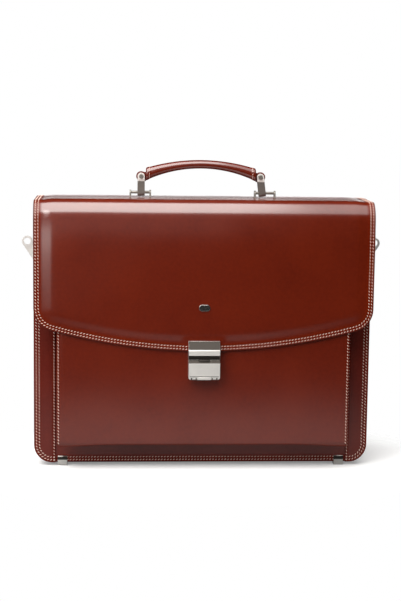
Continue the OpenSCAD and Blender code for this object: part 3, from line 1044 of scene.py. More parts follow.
def tube(stations: int, sides: int, place: Callable[[float, float], Vector]) -> bmesh.types.BMesh:
    """Makes a closed tube with flat ends.

    Args:
        stations: Stretches along it.
        sides: Stretches round it.
        place: Gives the point for a share along and a share round, both from 0 to 1.

    Returns:
        The tube.
    """
    bm = bmesh.new()
    bmesh.ops.create_grid(bm, x_segments=stations, y_segments=sides, size=0.5)
    for vert in bm.verts:
        vert.co = place(vert.co.x + 0.5, vert.co.y + 0.5)
    bmesh.ops.remove_doubles(bm, verts=bm.verts, dist=WELD_GAP)
    bmesh.ops.holes_fill(bm, edges=[e for e in bm.edges if e.is_boundary], sides=0)
    return bm


def floor_hide(name: str, node: str, thick: float, cell: float) -> Hide:
    """Plans a level panel with its outer face down.

    Args:
        name: The panel's name.
        node: The node whose box it fills.
        thick: Its thickness.
        cell: Width of its grid.

    Returns:
        The panel.
    """
    span = Span.of(node)
    sheet = Sheet(Plane.DEPTH_HEIGHT, (span.low.y, span.low.z), 0.0, (Run(1.0),), -1)
    border = rectangle(span.low.x, span.high.x, span.high.y - span.low.y)
    return Hide(name, sheet, border, thick, PLAIN, cell=cell)


@dataclass
class Case:
    """Walls, strips, gussets, bottom and inside of the case.

    The sag is how far the gussets draw in. lug_up and lug_clear are the middle of a strap eye
    over the foot of its plate and the stretch around it that stays flat.
    """

    finishes: Finishes
    corner_r: float = 23 * MM
    corner_steps: int = 10
    bend_steps: int = 12
    sag: float = 2.6 * MM
    sag_fade: float = 60 * MM
    lug_up: float = 10 * MM
    lug_clear: float = 22 * MM
    strip_crown: float = 0.5 * MM
    strip_crown_in: float = 15.5 * MM
    strip_crown_half: float = 9 * MM
    strip_seam: float = 1.7 * MM
    divider_margin: float = 3 * MM
    divider_chamfer: float = 20 * MM
    binding_t: float = 1 * MM
    binding_drop: float = 10 * MM
    binding_lift: float = 1.1 * MM
    binding_seam: float = 2.2 * MM
    wall: Span = field(default_factory=lambda: Span.of("front_wall"))
    back: Span = field(default_factory=lambda: Span.of("back_panel"))
    top: Span = field(default_factory=lambda: Span.of("top_panel"))
    split_y: float = field(default_factory=lambda: Span.of("left_bar").middle.y)

    def wall_border(self, inset: float, high: float, low: float | None = None) -> list[Point]:
        """Draws a wall's outline from its upper left corner, open above.

        Args:
            inset: How far it lies inside the leather's own outline.
            high: Its upper edge.
            low: Its lower edge, if the inset doesn't give it.

        Returns:
            The outline.
        """
        half = self.wall.high.x - inset
        base = self.wall.low.z + inset if low is None else low
        r = self.corner_r - inset
        return ([(-half, high)] + arc((r - half, base + r), r, 180, 270, self.corner_steps)
                + arc((half - r, base + r), r, 270, 360, self.corner_steps) + [(half, high)])

    def build_back(self) -> None:
        """Makes the back with the rear half of the top in one piece of leather."""
        radius = self.top.high.z - self.back.high.z
        bend_z, bend_len = self.back.high.z, radius * QUARTER
        flat = self.top.high.y - radius - self.split_y
        sheet = Sheet(Plane.DEPTH_HEIGHT, (self.back.high.y, 0.0), QUARTER,
                      (Run(bend_z), Run(bend_len, QUARTER), Run(flat)), -1)
        turn_s = bend_z + bend_len
        end = turn_s + flat
        half_top = self.top.high.x
        border = ([(-half_top, end), (-half_top, turn_s)] + self.wall_border(0.0, bend_z)
                  + [(half_top, turn_s), (half_top, end)])

        def slope(u: float, s: float) -> float:
            """Returns the slope of the top, which ends in the bend."""
            return -smooth_step((s - bend_z) / bend_len) * top_fall(sheet.place(u, s, 0.0).y)

        hide = Hide("back_leather", sheet, border, HIDE_T, Crown(step=0.9 * MM), top=end,
                    rows=[bend_z + bend_len * k / self.bend_steps for k in range(self.bend_steps + 1)],
                    waves=0.25 * MM, relief=slope, back=slope)
        bend = Bend(Body.CASE, Body.FLAP_TOP, Vector((0, self.back.high.y, bend_z)),
                    Vector((0, self.back.high.y - radius, self.top.high.z)))
        dress(hide.build(self.finishes.outer_hide), bend, Slot.LEATHER, "back_panel")
        seam = Seam("back_stitching")
        sew_border(seam, hide)
        seam.build(self.finishes, bend)

    def build_front(self) -> None:
        """Makes the front wall and its two darker side strips, sewn down together."""
        strip = Span.of("left_side_strip")
        inner, low, high = strip.high.x, self.wall.low.z, self.wall.high.z
        overlap = 1.5 * MM
        hide = Hide("front_wall_leather", flat_sheet(self.wall.low.y, 1), self.wall_border(0.0, high),
                    HIDE_T, Crown(rows=(3.2 * MM, 6.8 * MM), step=0.0))
        dress(hide.build(self.finishes.inner_hide), Body.CASE, Slot.LEATHER, "front_wall")
        seam = Seam("front_wall_stitching")
        sew_border(seam, hide, [(inner + overlap, low), (-inner - overlap, low)])

        def swell(u: float, s: float) -> float:
            """Returns the soft crown of a strip between its seams."""
            away = abs(abs(u) - (self.wall.high.x - self.strip_crown_in))
            return self.strip_crown * smooth_step(1 - away / self.strip_crown_half)

        def sunk(u: float, s: float) -> float:
            """Returns the height of the strips' stitches, which lie a little deep."""
            return swell(u, s) - 0.1 * MM

        sheet = flat_sheet(strip.low.y, 1)
        corner = self.wall_border(0.0, high)[:self.corner_steps + 2]
        outer_line = corner + [(inner, low)]
        inner_line = [(inner, low + 1 * MM), (inner, high)]
        lines = [inset_line(outer_line, row) for row in hide.crown.rows]
        lines.append(inset_line(inner_line, self.strip_seam))
        outline = [(inner, high)] + outer_line
        for name, border, rows in (
                ("left", outline, lines),
                ("right", mirrored(outline), [mirrored(line) for line in lines])):
            band = Hide(f"{name}_strip_leather", sheet, border, strip.high.y - strip.low.y, PLAIN,
                        relief=swell)
            dress(band.build(self.finishes.inner_hide), Body.CASE, Slot.DARK_LEATHER,
                  f"{name}_side_strip")
            for row in rows:
                seam.sew(sheet, row, sunk)
        seam.build(self.finishes, Body.CASE)

    def build_gussets(self) -> None:
        """Makes the two side gussets and the bottom between them."""
        left, base, lug = Span.of("left_gusset"), Span.of("base_panel"), Span.of("left_lug")
        radius = self.corner_r - (self.wall.high.x - abs(left.low.x))
        straight = left.high.z - (base.low.z + radius)
        total = straight + radius * QUARTER
        near, far = left.low.y, left.high.y
        lug_s = left.high.z - lug.low.z - self.lug_up

        def draw_in(u: float, s: float) -> float:
            """Shapes the gusset, which draws in between the walls but not at the lug.

            Args:
                u: Depth.
                s: Length down from the upper edge.

            Returns:
                Its height, 0 or less.
            """
            across = min(max((u - near) / (far - near), 0), 1)
            free = smooth_step((abs(s - lug_s) - self.lug_clear) / self.sag_fade)
            free *= smooth_step((total - s) / self.sag_fade)
            return -self.sag * free * math.sin(math.pi * across) ** 2

        for side, name in ((-1, "left_gusset"), (1, "right_gusset")):
            start = (side * abs(left.low.x), left.high.z)
            sheet = Sheet(Plane.WIDTH_HEIGHT, start, -QUARTER,
                          (Run(straight), Run(radius * QUARTER, -side * QUARTER)), side)
            hide = Hide(f"{name}_leather", sheet, rectangle(near, far, total, side < 0), HIDE_T,
                        Crown(rows=(), step=0.0, edge=0.5 * MM), relief=draw_in, back=draw_in,
                        rows=[straight + radius * QUARTER * k / 10 for k in range(10)])
            dress(hide.build(self.finishes.inner_hide), Body.CASE, Slot.DARK_LEATHER, name)
        hide = floor_hide("bottom_leather", "base_panel", HIDE_T, 14 * MM)
        dress(hide.build(self.finishes.inner_hide), Body.CASE, Slot.DARK_LEATHER, "base_panel")

    def build_inside(self) -> None:
        """Makes the linings of the two walls, the divider and the bindings of their upper edges."""
        cloth, cell = self.finishes.cloth, 20 * MM
        front, rear = Span.of("front_lining"), Span.of("back_lining")
        for name, span, y, side in (("front", front, front.high.y, -1), ("back", rear, rear.low.y, 1)):
            border = self.wall_border(self.wall.high.x - span.high.x, span.high.z, span.low.z)
            hide = Hide(f"{name}_inner_cloth", flat_sheet(y, side), border, CLOTH_T, PLAIN, cell=cell,
                        waves=0.2 * MM)
            dress(hide.build(cloth), Body.CASE, Slot.LINING, f"{name}_lining")
        divider = Span.of("divider")
        half = divider.high.x - self.divider_margin
        low, high, chamfer = divider.low.z, divider.high.z, self.divider_chamfer
        border = [(-half, high), (-half, low + chamfer), (chamfer - half, low),
                  (half - chamfer, low), (half, low + chamfer), (half, high)]
        hide = Hide("divider_cloth", flat_sheet(divider.low.y, 1), border,
                    divider.high.y - divider.low.y, PLAIN, cell=cell)
        dress(hide.build(cloth), Body.CASE, Slot.LINING, "divider")
        self._binding("divider_binding", divider.low.y, divider.high.y, high, half)
        self._binding("front_binding", self.wall.high.y - 0.2 * MM, front.high.y, front.high.z,
                      front.high.x - 1 * MM)

    def _binding(self, name: str, near: float, far: float, top: float, half: float) -> None:
        """Makes a leather strip folded over the upper edge of a wall, with its seam.

        Args:
            name: The strip's name.
            near: Depth of the wall's front face.
            far: Depth of its rear face.
            top: Its upper edge.
            half: Half of the strip's length.
        """
        drop, lift = self.binding_drop, self.binding_lift
        radius = (far - near + 2 * lift) / 2
        upright = drop + lift - radius
        sheet = Sheet(Plane.DEPTH_HEIGHT, (near - lift, top - drop), QUARTER,
                      (Run(upright), Run(radius * math.pi, -math.pi), Run(drop)), 1)
        total = 2 * upright + radius * math.pi
        border = [(-half, total), (-half, 0.0), (half, 0.0), (half, total)]
        crown = Crown(rows=(self.binding_seam,), step=0.0, edge=0.4 * MM)
        hide = Hide(name, sheet, border, self.binding_t, crown, cell=24 * MM,
                    rows=[total * k / 20 for k in range(1, 20)])
        dress(hide.build(self.finishes.inner_hide), Body.CASE, Slot.DARK_LEATHER)
        seam = Seam(f"{name}_stitching")
        for row in (self.binding_seam, total - self.binding_seam):
            seam.sew(sheet, [(-half, row), (half, row)], lambda u, s: -0.2 * MM)
        seam.build(self.finishes, Body.CASE)

    def build(self) -> None:
        """Makes every piece of the case."""
        self.build_back()
        self.build_front()
        self.build_gussets()
        self.build_inside()


@dataclass
class Pocket:
    """The front pocket.

    The droop is how far its lower corners hang down, over droop_run from droop_from inside the
    side edges. turn and turn_run are how far the lower edge turns under, and over what height.
    """

    finishes: Finishes
    panel: Span = field(default_factory=lambda: Span.of("pocket_panel"))
    droop: float = 2.4 * MM
    droop_from: float = 66 * MM
    droop_run: float = 60 * MM
    corner_w: float = 18 * MM
    edge_steps: int = 30
    turn: float = 1.6 * MM
    turn_run: float = 8 * MM
    seam_in: float = 2.1 * MM
    fold: float = 2.2 * MM

    def border(self) -> list[Point]:
        """Draws the panel's outline.

        Returns:
            The outline, whose lower corners hang a little lower.
        """
        half, low, high = self.panel.high.x, self.panel.low.z, self.panel.high.z
        inner = half - self.corner_w
        steps = [inner * (2 * k / self.edge_steps - 1) for k in range(self.edge_steps + 1)]
        line = [(u, low - self.droop * smooth_step((abs(u) - half + self.droop_from) / self.droop_run))
                for u in [-half] + steps + [half]]
        return [(-half, high)] + line + [(half, high)]

    def build_panel(self) -> None:
        """Makes the panel with its two side seams."""
        low, high, half = self.panel.low.z, self.panel.high.z, self.panel.high.x

        def fall(u: float, s: float) -> float:
            """Returns how the panel turns under at its lower edge."""
            share = smooth_step(1 - (s - low + self.droop) / self.turn_run)
            return -self.turn * share * share

        crown = Crown(rows=(), step=0.25 * MM, border=3 * MM, ramp=6 * MM, edge=0.8 * MM, reach=3 * MM)
        hide = Hide("pocket_leather", flat_sheet(self.panel.low.y, 1), self.border(), HIDE_T, crown,
                    relief=fall, back=lambda u, s: fall(u, s) * 0.8, waves=0.2 * MM, cell=7 * MM,
                    rows=[low + step * MM for step in (-0.8, 0.5, 1.5, 2.7, 4, 5.5, 7, 9, 12)])
        dress(hide.build(self.finishes.outer_hide), Body.CASE, Slot.LEATHER, "pocket_panel")
        seam = Seam("pocket_stitching")
        for side in (-1, 1):
            u = side * (half - self.seam_in)
            seam.sew(hide.sheet, [(u, high), (u, low + 0.5 * MM)],
                     lambda a, b: hide.surface(a, b, self.seam_in))
        seam.build(self.finishes, Body.CASE)

    def build_gusset(self, name: str, side: int) -> None:
        """Makes one of the pocket's gussets, which folds inwards along its middle.

        Args:
            name: The gusset's node.
            side: -1 for the left and 1 for the right.
        """
        span = Span.of(name)
        near, far, height = span.low.y, span.high.y, span.high.z - span.low.z

        def folded(u: float, s: float) -> float:
            """Returns how far the gusset lies inwards."""
            return -self.fold * math.sin(math.pi * (u - near) / (far - near)) ** 2

        outer = span.low.x if side < 0 else span.high.x
        sheet = Sheet(Plane.WIDTH_HEIGHT, (outer, span.high.z), -QUARTER, (Run(height),), side)
        hide = Hide(f"{name}_leather", sheet, rectangle(near, far, height, side < 0),
                    span.high.x - span.low.x, PLAIN, relief=folded, back=folded, cell=4 * MM)
        dress(hide.build(self.finishes.inner_hide), Body.CASE, Slot.DARK_LEATHER, name)

    def build(self) -> None:
        """Makes the panel and the pocket's own gussets and bottom."""
        self.build_panel()
        self.build_gusset("pocket_left_gusset", -1)
        self.build_gusset("pocket_right_gusset", 1)
        span = Span.of("pocket_base")
        hide = floor_hide("pocket_base_leather", "pocket_base", span.high.z - span.low.z, 10 * MM)
        dress(hide.build(self.finishes.inner_hide), Body.CASE, Slot.DARK_LEATHER, "pocket_base")


@dataclass
class Flap:
    """The flap's drop with the front half of the top, in one piece of leather.

    edge_r is the radius of the lower edge. Behind the lock the sewn border lies seat_lift
    higher, up to seat_gap over the lower edge. The lift fades over seat_gap_fade above that,
    over seat_fade beside the lock and over seat_rise above it. Below the front bend the leather
    eases inwards by bend_ease, over a length of bend_tail.
    """

    finishes: Finishes
    edge_r: float = 705 * MM
    corner_r: float = 28 * MM
    corner_steps: int = 10
    edge_steps: int = 60
    bend_steps: int = 14
    seat_lift: float = 1.25 * MM
    seat_fade: float = 10 * MM
    seat_rise: float = 12 * MM
    seat_gap: float = 9 * MM
    seat_gap_fade: float = 13 * MM
    bend_ease: float = 1.7 * MM
    bend_tail: float = 50 * MM
    lining_gap: float = 3.02 * MM
    drop: Span = field(default_factory=lambda: Span.of("flap_panel"))
    top: Span = field(default_factory=lambda: Span.of("top_panel"))
    hasp: Span = field(default_factory=lambda: Span.of("hasp"))
    split_y: float = field(default_factory=lambda: Span.of("left_bar").middle.y)

    @property
    def bend_r(self) -> float:
        """Returns the radius of the front bend."""
        return self.top.high.z - self.drop.high.z

    def sheet(self) -> Sheet:
        """Returns the flap's surface. s is the height on the drop and runs on over the top."""
        flat = self.split_y - self.drop.low.y - self.bend_r
        return Sheet(Plane.DEPTH_HEIGHT, (self.drop.low.y, 0.0), QUARTER,
                     (Run(self.drop.high.z), Run(self.bend_r * QUARTER, -QUARTER), Run(flat)), 1)

    def _edge_rise(self, across: float) -> float:
        """Returns how far the lower edge has risen at a place across the flap."""
        return self.edge_r - math.sqrt(self.edge_r ** 2 - across ** 2)

    def border(self, inset: float, top: float) -> list[Point]:
        """Draws the flap's outline, an arc below between two round corners.

        Args:
            inset: How far it lies inside the leather's own outline.
            top: Its upper edge.

        Returns:
            The outline, open above.
        """
        half = self.drop.high.x
        centre_z = self.drop.low.z + self.edge_r
        reach = self.edge_r - self.corner_r
        corner_x = half - self.corner_r
        corner_z = centre_z - math.sqrt(reach ** 2 - corner_x ** 2)
        lean = math.degrees(math.asin(corner_x / reach))
        start, end = 270 - lean, 270 + lean
        r = self.corner_r - inset
        left = arc((-corner_x, corner_z), r, 180, start, self.corner_steps)
        low = arc((0.0, centre_z), self.edge_r - inset, start, end, self.edge_steps)
        right = arc((corner_x, corner_z), r, end, 360, self.corner_steps)
        return [(inset - half, top)] + left + low[1:-1] + right + [(half - inset, top)]

    def _seat(self, u: float, s: float) -> float:
        """Measures the lift that keeps the leather flush behind the lock.

        Args:
            u: Place across the flap.
            s: Length along its surface.

        Returns:
            The lift there.
        """
        lock_x, lock_z = self.hasp.high.x, self.hasp.high.z
        near = max(abs(u) - lock_x, s - lock_z, 0.0)
        lift = self.seat_lift * smooth_step(1 - near / self.seat_fade)
        lift *= smooth_step((lock_z + self.seat_rise - s) / self.seat_rise)
        gap = s - (self.drop.low.z + self._edge_rise(u))
        return lift * (1 - smooth_step((gap - self.seat_gap) / self.seat_gap_fade))

    def _shape(self, u: float, s: float) -> float:
        """Shapes the flap: flush at the lock, easing into the bend, lower at the back.

        Args:
            u: Place across the flap.
            s: Length along its surface.

        Returns:
            The relief there.
        """
        bend_z, bend_len = self.drop.high.z, self.bend_r * QUARTER
        if s > bend_z + bend_len:
            return -top_fall(self.sheet().place(u, s, 0.0).y)
        if s > bend_z:
            steep = 3 * self.bend_ease / self.bend_tail * bend_len
            share = (s - bend_z) / bend_len
            return -self.bend_ease * (1 - smooth_step(share)) - steep * share * (1 - share) ** 2
        lean = max(0.0, 1 - (bend_z - s) / self.bend_tail)
        return self._seat(u, s) - self.bend_ease * lean ** 3

    def _inner(self, u: float, s: float) -> float:
        """Returns how far the inner face follows the relief."""
        return min(0.0, self._shape(u, s))

    def build_leather(self) -> None:
        """Makes the leather and its seams, which follow the front bend."""
        sheet = self.sheet()
        bend_z, bend_len = self.drop.high.z, self.bend_r * QUARTER
        end = sum(run.length for run in sheet.runs)
        bend = Bend(Body.FLAP_TOP, Body.FLAP_FRONT,
                    Vector((0, self.drop.low.y + self.bend_r, self.top.high.z)),
                    Vector((0, self.drop.low.y, bend_z)))
        border = self.border(0.0, end)
        hide = Hide("flap_leather", sheet, border, HIDE_T, Crown(rows=(2.6 * MM, 6.0 * MM)), top=end,
                    cell=7 * MM, relief=self._shape, back=self._inner, waves=0.35 * MM,
                    rows=[bend_z + bend_len * k / self.bend_steps for k in range(self.bend_steps + 1)])
        dress(hide.build(self.finishes.flap_hide), bend, Slot.LEATHER, "flap_panel", "top_panel")
        seam = Seam("flap_stitching")
        for row in hide.crown.rows:
            for part in self._clear_of_lock(inset_line(border, row)):
                seam.sew(sheet, part, lambda u, s, row=row: hide.surface(u, s, row))
        seam.build(self.finishes, bend)

    def build_lining(self) -> None:
        """Makes the lining of the drop."""
        def behind(u: float, s: float) -> float:
            """Returns how far the lining lies under the leather's face."""
            return self._inner(u, s) - self.lining_gap

        inset = self.drop.high.x - Span.of("flap_lining").high.x
        border = self.border(inset, self.drop.high.z - 1 * MM)
        lining = Hide("flap_lining_cloth", self.sheet(), border, CLOTH_T, PLAIN, cell=12 * MM,
                      relief=behind, back=behind)
        dress(lining.build(self.finishes.cloth), Body.FLAP_FRONT, Slot.LINING, "flap_lining")

    def _clear_of_lock(self, line: Sequence[Point]) -> list[list[Point]]:
        """Splits a row of stitches where the lock covers it.

        Args:
            line: The row.

        Returns:
            Its left and its right part.
        """
        limit = self.hasp.high.x + 0.5 * MM
        left = [p for p in line if p[0] < -limit]
        right = [p for p in line if p[0] > limit]
        level = min(line, key=lambda p: abs(p[0]))[1] + self._edge_rise(limit)
        return [left + [(-limit, level)], [(limit, level)] + right]

    def build(self) -> None:
        """Makes every piece of the flap."""
        self.build_leather()
        self.build_lining()


@dataclass
class Handle:
    """The grip with its end seams and end tabs.

    top_r and under_r are the radii of the grip's upper and lower lines, and middle_t is its
    height halfway. A collar at each end stands out by its flare. power squares the section off.
    """

    finishes: Finishes
    grip: Span = field(default_factory=lambda: Span.of("grip_cover"))
    top_r: float = 234 * MM
    under_r: float = 162 * MM
    middle_t: float = 11.3 * MM
    power: float = 0.88
    skin_in: float = 0.35 * MM
    collar: float = 5.5 * MM
    collar_flare: float = 0.35 * MM
    collar_fade: float = 1.2 * MM
    end_round: float = 0.9 * MM
    end_reach: float = 1 * MM
    seam_depth: float = 0.5 * MM
    seam_share: float = 0.02
    sides: int = 44
    stations: int = 40
    stitches: int = 14
    stitched_at: float = 0.03

    def _ring(self, x: float) -> tuple[float, float]:
        """Measures the grip at a place along it.

        Args:
            x: Distance from its middle.

        Returns:
            Its lower and upper heights.
        """
        high = self.grip.high.z - self.top_r + math.sqrt(self.top_r ** 2 - x * x)
        low = self.grip.high.z - self.middle_t - self.under_r + math.sqrt(self.under_r ** 2 - x * x)
        return low, high

    def place(self, along: float, turn: float, lift: float = 0.0) -> Vector:
        """Returns a point of the grip's skin.

        Args:
            along: Share along the grip, from 0 to 1.
            turn: Share round it, 0 below.
            lift: Height over the skin.

        Returns:
            The point.
        """
        half = (self.grip.high.x - self.grip.low.x) / 2
        x = half * (2 * along - 1)
        low, high = self._ring(x)
        angle = 2 * math.pi * turn - QUARTER
        end_gap = half - abs(x)
        flare = self.collar_flare * smooth_step((self.collar - end_gap) / self.collar_fade)
        round_off = self.end_round * smooth_step(1 - end_gap / self.end_reach) ** 2
        seam = self.seam_depth * smooth_step(1 - min(turn, 1 - turn) / self.seam_share)
        swell = lift + flare - round_off - seam - self.skin_in
        wide = (self.grip.high.y - self.grip.low.y) / 2 + swell
        tall = (high - low) / 2 + swell
        cos, sin = math.cos(angle), math.sin(angle)
        y = self.grip.middle.y + wide * math.copysign(abs(cos) ** self.power, cos)
        z = (low + high) / 2 + tall * math.copysign(abs(sin) ** self.power, sin)
        return Vector((self.grip.middle.x + x, y, z))

    def build_grip(self) -> None:
        """Makes the grip's leather, with closer stations at its two ends."""
        edges = [0.0, 0.0022, 0.006, 0.012, 0.02, 0.03, 0.038, 0.042, 0.05]
        inner = [edges[-1] + (1 - 2 * edges[-1]) * k / self.stations for k in range(1, self.stations)]
        stops = edges + inner + [1 - e for e in reversed(edges)]
        last = len(stops) - 1
        bm = tube(last, self.sides, lambda a, t: self.place(stops[round(a * last)], t % 1.0))
        piece = tidy_object("grip_leather", bm, [self.finishes.leather], 60)
        dress(piece, Body.HANDLE, Slot.LEATHER, "grip_cover")

    def build_stitches(self) -> None:
        """Makes the ring of stitches round each end of the grip, open at the seam below."""
        seam = Seam("grip_stitching", length=2.3 * MM, radius=0.42 * MM, slant=0.0)
        for end in (self.stitched_at, 1 - self.stitched_at):
            for k in range(1, self.stitches):
                turn = 0.04 + 0.92 * k / self.stitches
                middle = self.place(end, turn)
                out = (self.place(end, turn, PROBE) - middle).normalized()
                along = (self.place(end, turn + 10 * PROBE) - middle).normalized()
                seam.stitch(middle + out * 0.05 * MM, along, out)
        seam.build(self.finishes, Body.HANDLE)

    def build(self) -> None:
        """Makes the grip, its end seams and the tabs."""
        self.build_grip()
        self.build_stitches()
        for name in ("left_end_tab", "right_end_tab"):
            piece = soften(name, f"{name}_leather", 1.1 * MM, 3, self.finishes.dark_leather)
            dress(piece, Body.HANDLE, Slot.LEATHER, name)


class Tone(IntEnum):
    """Finishes of a banded metal piece by material number: satin, painted shade, painted highlight, painted
    half shade.
    """

    SATIN = 0
    DARK = 1
    BRIGHT = 2
    SMOKY = 3


@dataclass(frozen=True)
class PaintedLightBands:
    """Bands of painted highlight and shade on a metal piece, from a node's top down.

    Each stop is a depth in millimetres and the finish above it, a lit or shaded copy of the nickel.
    The piece takes the painted highlight within side of the node's sides, and its faces are divided
    at the depth parting, in millimetres.
    """

    span: Span
    stops: tuple[tuple[float, Tone], ...]
    side: float = 0.0
    parting: float | None = None

    def zone(self, place: Vector) -> int:
        """Chooses the finish for a face.

        Args:
            place: The face's middle.

        Returns:
            The finish's number.
        """
        if self.side and abs(place.x) > self.span.high.x - self.side:
            return Tone.BRIGHT
        down = (self.span.high.z - place.z) / MM
        return next((tone for depth, tone in self.stops if down < depth), Tone.SATIN)


def soften(node: str, name: str, width: float, segments: int,
           finish: bpy.types.Material | Sequence[bpy.types.Material],
           bands: PaintedLightBands | None = None) -> bpy.types.Object:
    """Copies a node of the frame and rounds its sharp edges.

    Args:
        node: The node.
        name: Name of the copy.
        width: Width of the rounding.
        segments: Its steps.
        finish: The copy's finish, or one for each tone where it has bands.
        bands: Its bands of painted highlight and shade.

    Returns:
        The copy, whose broad faces stay flat.
    """
    sharp_from, flat_within = math.radians(28.0), math.radians(1.5)
    bm = bmesh.new()
    bm.from_mesh(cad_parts[node].data)
    bmesh.ops.remove_doubles(bm, verts=bm.verts, dist=MERGE_GAP)
    bmesh.ops.dissolve_limit(bm, angle_limit=flat_within, verts=bm.verts, edges=bm.edges)
    sharp = [e for e in bm.edges if len(e.link_faces) == 2 and e.calc_face_angle() > sharp_from]
    bmesh.ops.bevel(bm, geom=sharp, offset=width, segments=segments, affect="EDGES", profile=0.5,
                    material=-1, clamp_overlap=True)
    if bands and bands.parting:
        cut(bm, 2, bands.span.high.z - bands.parting * MM)
    for face in bm.faces:
        face.material_index = bands.zone(face.calc_center_median()) if bands else 0
    broad = [face.calc_area() > MM * face.calc_perimeter() for face in bm.faces]
    piece = tidy_object(name, bm, finish if bands else [finish], 32)
    for face, flat in zip(piece.data.polygons, broad):
        face.use_smooth = not flat
    return piece


@dataclass
class Hardware:
    """Metal pieces: copies of the frame's nodes with rounded edges and a plated finish.

    press is the button's travel. The shade line is a dark box across the lower half of the lock,
    a painted shadow of a groove, and recess_xs are the distances of the finger recesses from its
    middle, whose shade is painted as dark dimples.
    """

    finishes: Finishes
    press: float = 2.5 * MM
    # The painted shadow line: its height over the lock's foot, its size and its margin at the sides.
    shade_line_up: float = 4 * MM
    shade_line_size: Point = (0.3 * MM, 0.7 * MM)
    shade_line_margin: float = 1.3 * MM
    recess_xs: Point = (9.9 * MM, 15.6 * MM)
    recess_up: float = 1.5 * MM
    recess_in: float = 0.6 * MM
    recess_size: Place = (0.9, 1.0, 1.3)

    def build(self) -> None:
        """Makes each metal piece."""
        self.build_plain()
        self.build_banded()
        self.build_painted_shade_marks()
        self.build_spring()
        self.dress_cores()

    def build_plain(self) -> None:
        """Makes the metal pieces of one finish."""
        satin, polished, grey_metal = self.finishes.satin, self.finishes.polished, self.finishes.grey
        plan = (
            ("hasp_backplate", Body.FLAP_FRONT, 0.2, satin),
            ("hasp_rivets", Body.FLAP_FRONT, 0.15, satin),
            ("flap_stud", Body.FLAP_FRONT, 0.5, polished),
            ("lock_backplate", Body.CASE, 0.2, satin),
            ("lock_screws", Body.CASE, 0.2, polished),
            ("left_lug", Body.CASE, 0.6, satin),
            ("right_lug", Body.CASE, 0.6, satin),
            ("lug_rivets", Body.CASE, 0.3, polished),
            ("left_bracket", Body.FLAP_TOP, 0.3, grey_metal),
            ("right_bracket", Body.FLAP_TOP, 0.3, grey_metal),
            ("left_bar", Body.FLAP_TOP, 0.25, grey_metal),
            ("right_bar", Body.FLAP_TOP, 0.25, grey_metal),
            ("bracket_rivets", Body.FLAP_TOP, 0.15, polished),
            ("left_rivet", Body.HANDLE, 0.3, grey_metal),
            ("right_rivet", Body.HANDLE, 0.3, grey_metal),
            ("lock_button", Body.BUTTON, 0.4, satin),
            ("latch_bar", Body.BUTTON, 0.2, satin))
        for node, body, width, material in plan:
            piece = soften(node, f"{node}_plated", width * MM, 2, material)
            dress(piece, body, Slot.NICKEL, node)

    def build_banded(self) -> None:
        """Makes the metal pieces that have bands of painted highlight and painted shade."""
        finishes = self.finishes
        # Satin, and copies of the nickel that paint light: painted shade, painted highlight, painted half
        # shade.
        painted_tones = [finishes.satin, finishes.painted_shade_metal, finishes.bright, finishes.painted_half_shade]
        satin, dark, bright, painted_half_shade = Tone
        side = 0.9 * MM
        # Each band's tone paints the look of a reflection: dark is painted shade, bright a painted
        # highlight, the fourth tone painted half shade.
        hasp = PaintedLightBands(Span.of("hasp"), ((1.7, bright), (10.3, dark), (16.8, satin), (20.7, dark),
                                       (30, satin)), side)
        tongue = PaintedLightBands(Span.of("hasp"), ((23.3, dark), (30, painted_half_shade)))
        lock = PaintedLightBands(Span.of("lock_case"), ((0.8, satin), (3.6, dark), (30, satin)), side)
        feet = PaintedLightBands(Span.of("front_feet"), ((0.9, bright), (5.2, dark), (20, satin)), parting=5.2)
        links = PaintedLightBands(Span.of("left_link"), ((10.5, satin), (60, painted_half_shade)), parting=10.5)
        plan = (
            ("hasp", Body.FLAP_FRONT, 0.35, hasp),
            ("hasp_tongue", Body.FLAP_FRONT, 0.25, tongue),
            ("lock_case", Body.CASE, 0.3, lock),
            ("front_feet", Body.CASE, 0.35, feet),
            ("rear_feet", Body.CASE, 0.35, feet),
            ("left_link", Body.LEFT_LINK, 0.3, links),
            ("right_link", Body.RIGHT_LINK, 0.3, links))
        for node, body, width, bands in plan:
            piece = soften(node, f"{node}_plated", width * MM, 2, painted_tones, bands)
            dress(piece, body, Slot.NICKEL, node)

    def build_painted_shade_marks(self) -> None:
        """Makes painted shade above the button: a dark box as the shadow line, dark dimples as the finger
        recesses.
        """
        case = Span.of("lock_case")
        front, low = case.low.y, case.low.z
        bm = bmesh.new()
        size = Vector((2 * (case.high.x - self.shade_line_margin), *self.shade_line_size))
        line = Matrix.LocRotScale(Vector((0, front + 0.1 * MM, low + self.shade_line_up)), None, size)
        # A dark box just proud of the face: a painted shadow line, not a groove.
        bmesh.ops.create_cube(bm, size=1.0, matrix=line)
        # Dark dimples: the painted shade of the finger recesses.
        for side in (-1, 1):
            for x in self.recess_xs:
                place = Vector((side * x, front + self.recess_in, low + self.recess_up))
                recess_shade = Matrix.LocRotScale(place, None, Vector(self.recess_size))
                bmesh.ops.create_uvsphere(bm, u_segments=16, v_segments=10, radius=1 * MM, matrix=recess_shade)
        piece = tidy_object("lock_recesses", bm, [self.finishes.painted_shade_metal])
        dress(piece, Body.CASE, Slot.NICKEL)

    def build_spring(self) -> None:
        """Makes the lock's leaf spring, with a mesh of its own."""
        span = Span.of("lock_spring")
        piece = soften("lock_spring", "lock_leaf_spring", 0.05 * MM, 1, self.finishes.steel)
        dress(piece, Body.CASE, Slot.SPRING, "lock_spring")
        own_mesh(piece)

    def dress_cores(self) -> None:
        """Gives the boards and the grip's core, which keep their own shapes, a finish."""
        board, suede = self.finishes.board, self.finishes.suede
        for node, material in (("back_board", board), ("front_board", board), ("base_board", suede),
                               ("top_board", suede), ("grip_core", board)):
            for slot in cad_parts[node].material_slots:
                slot.material = material


class Lamp(NamedTuple):
    """A soft rectangular lamp that faces a point, with its power in watts."""

    name: str
    place: Place
    aim: Place
    size: Point
    power: float


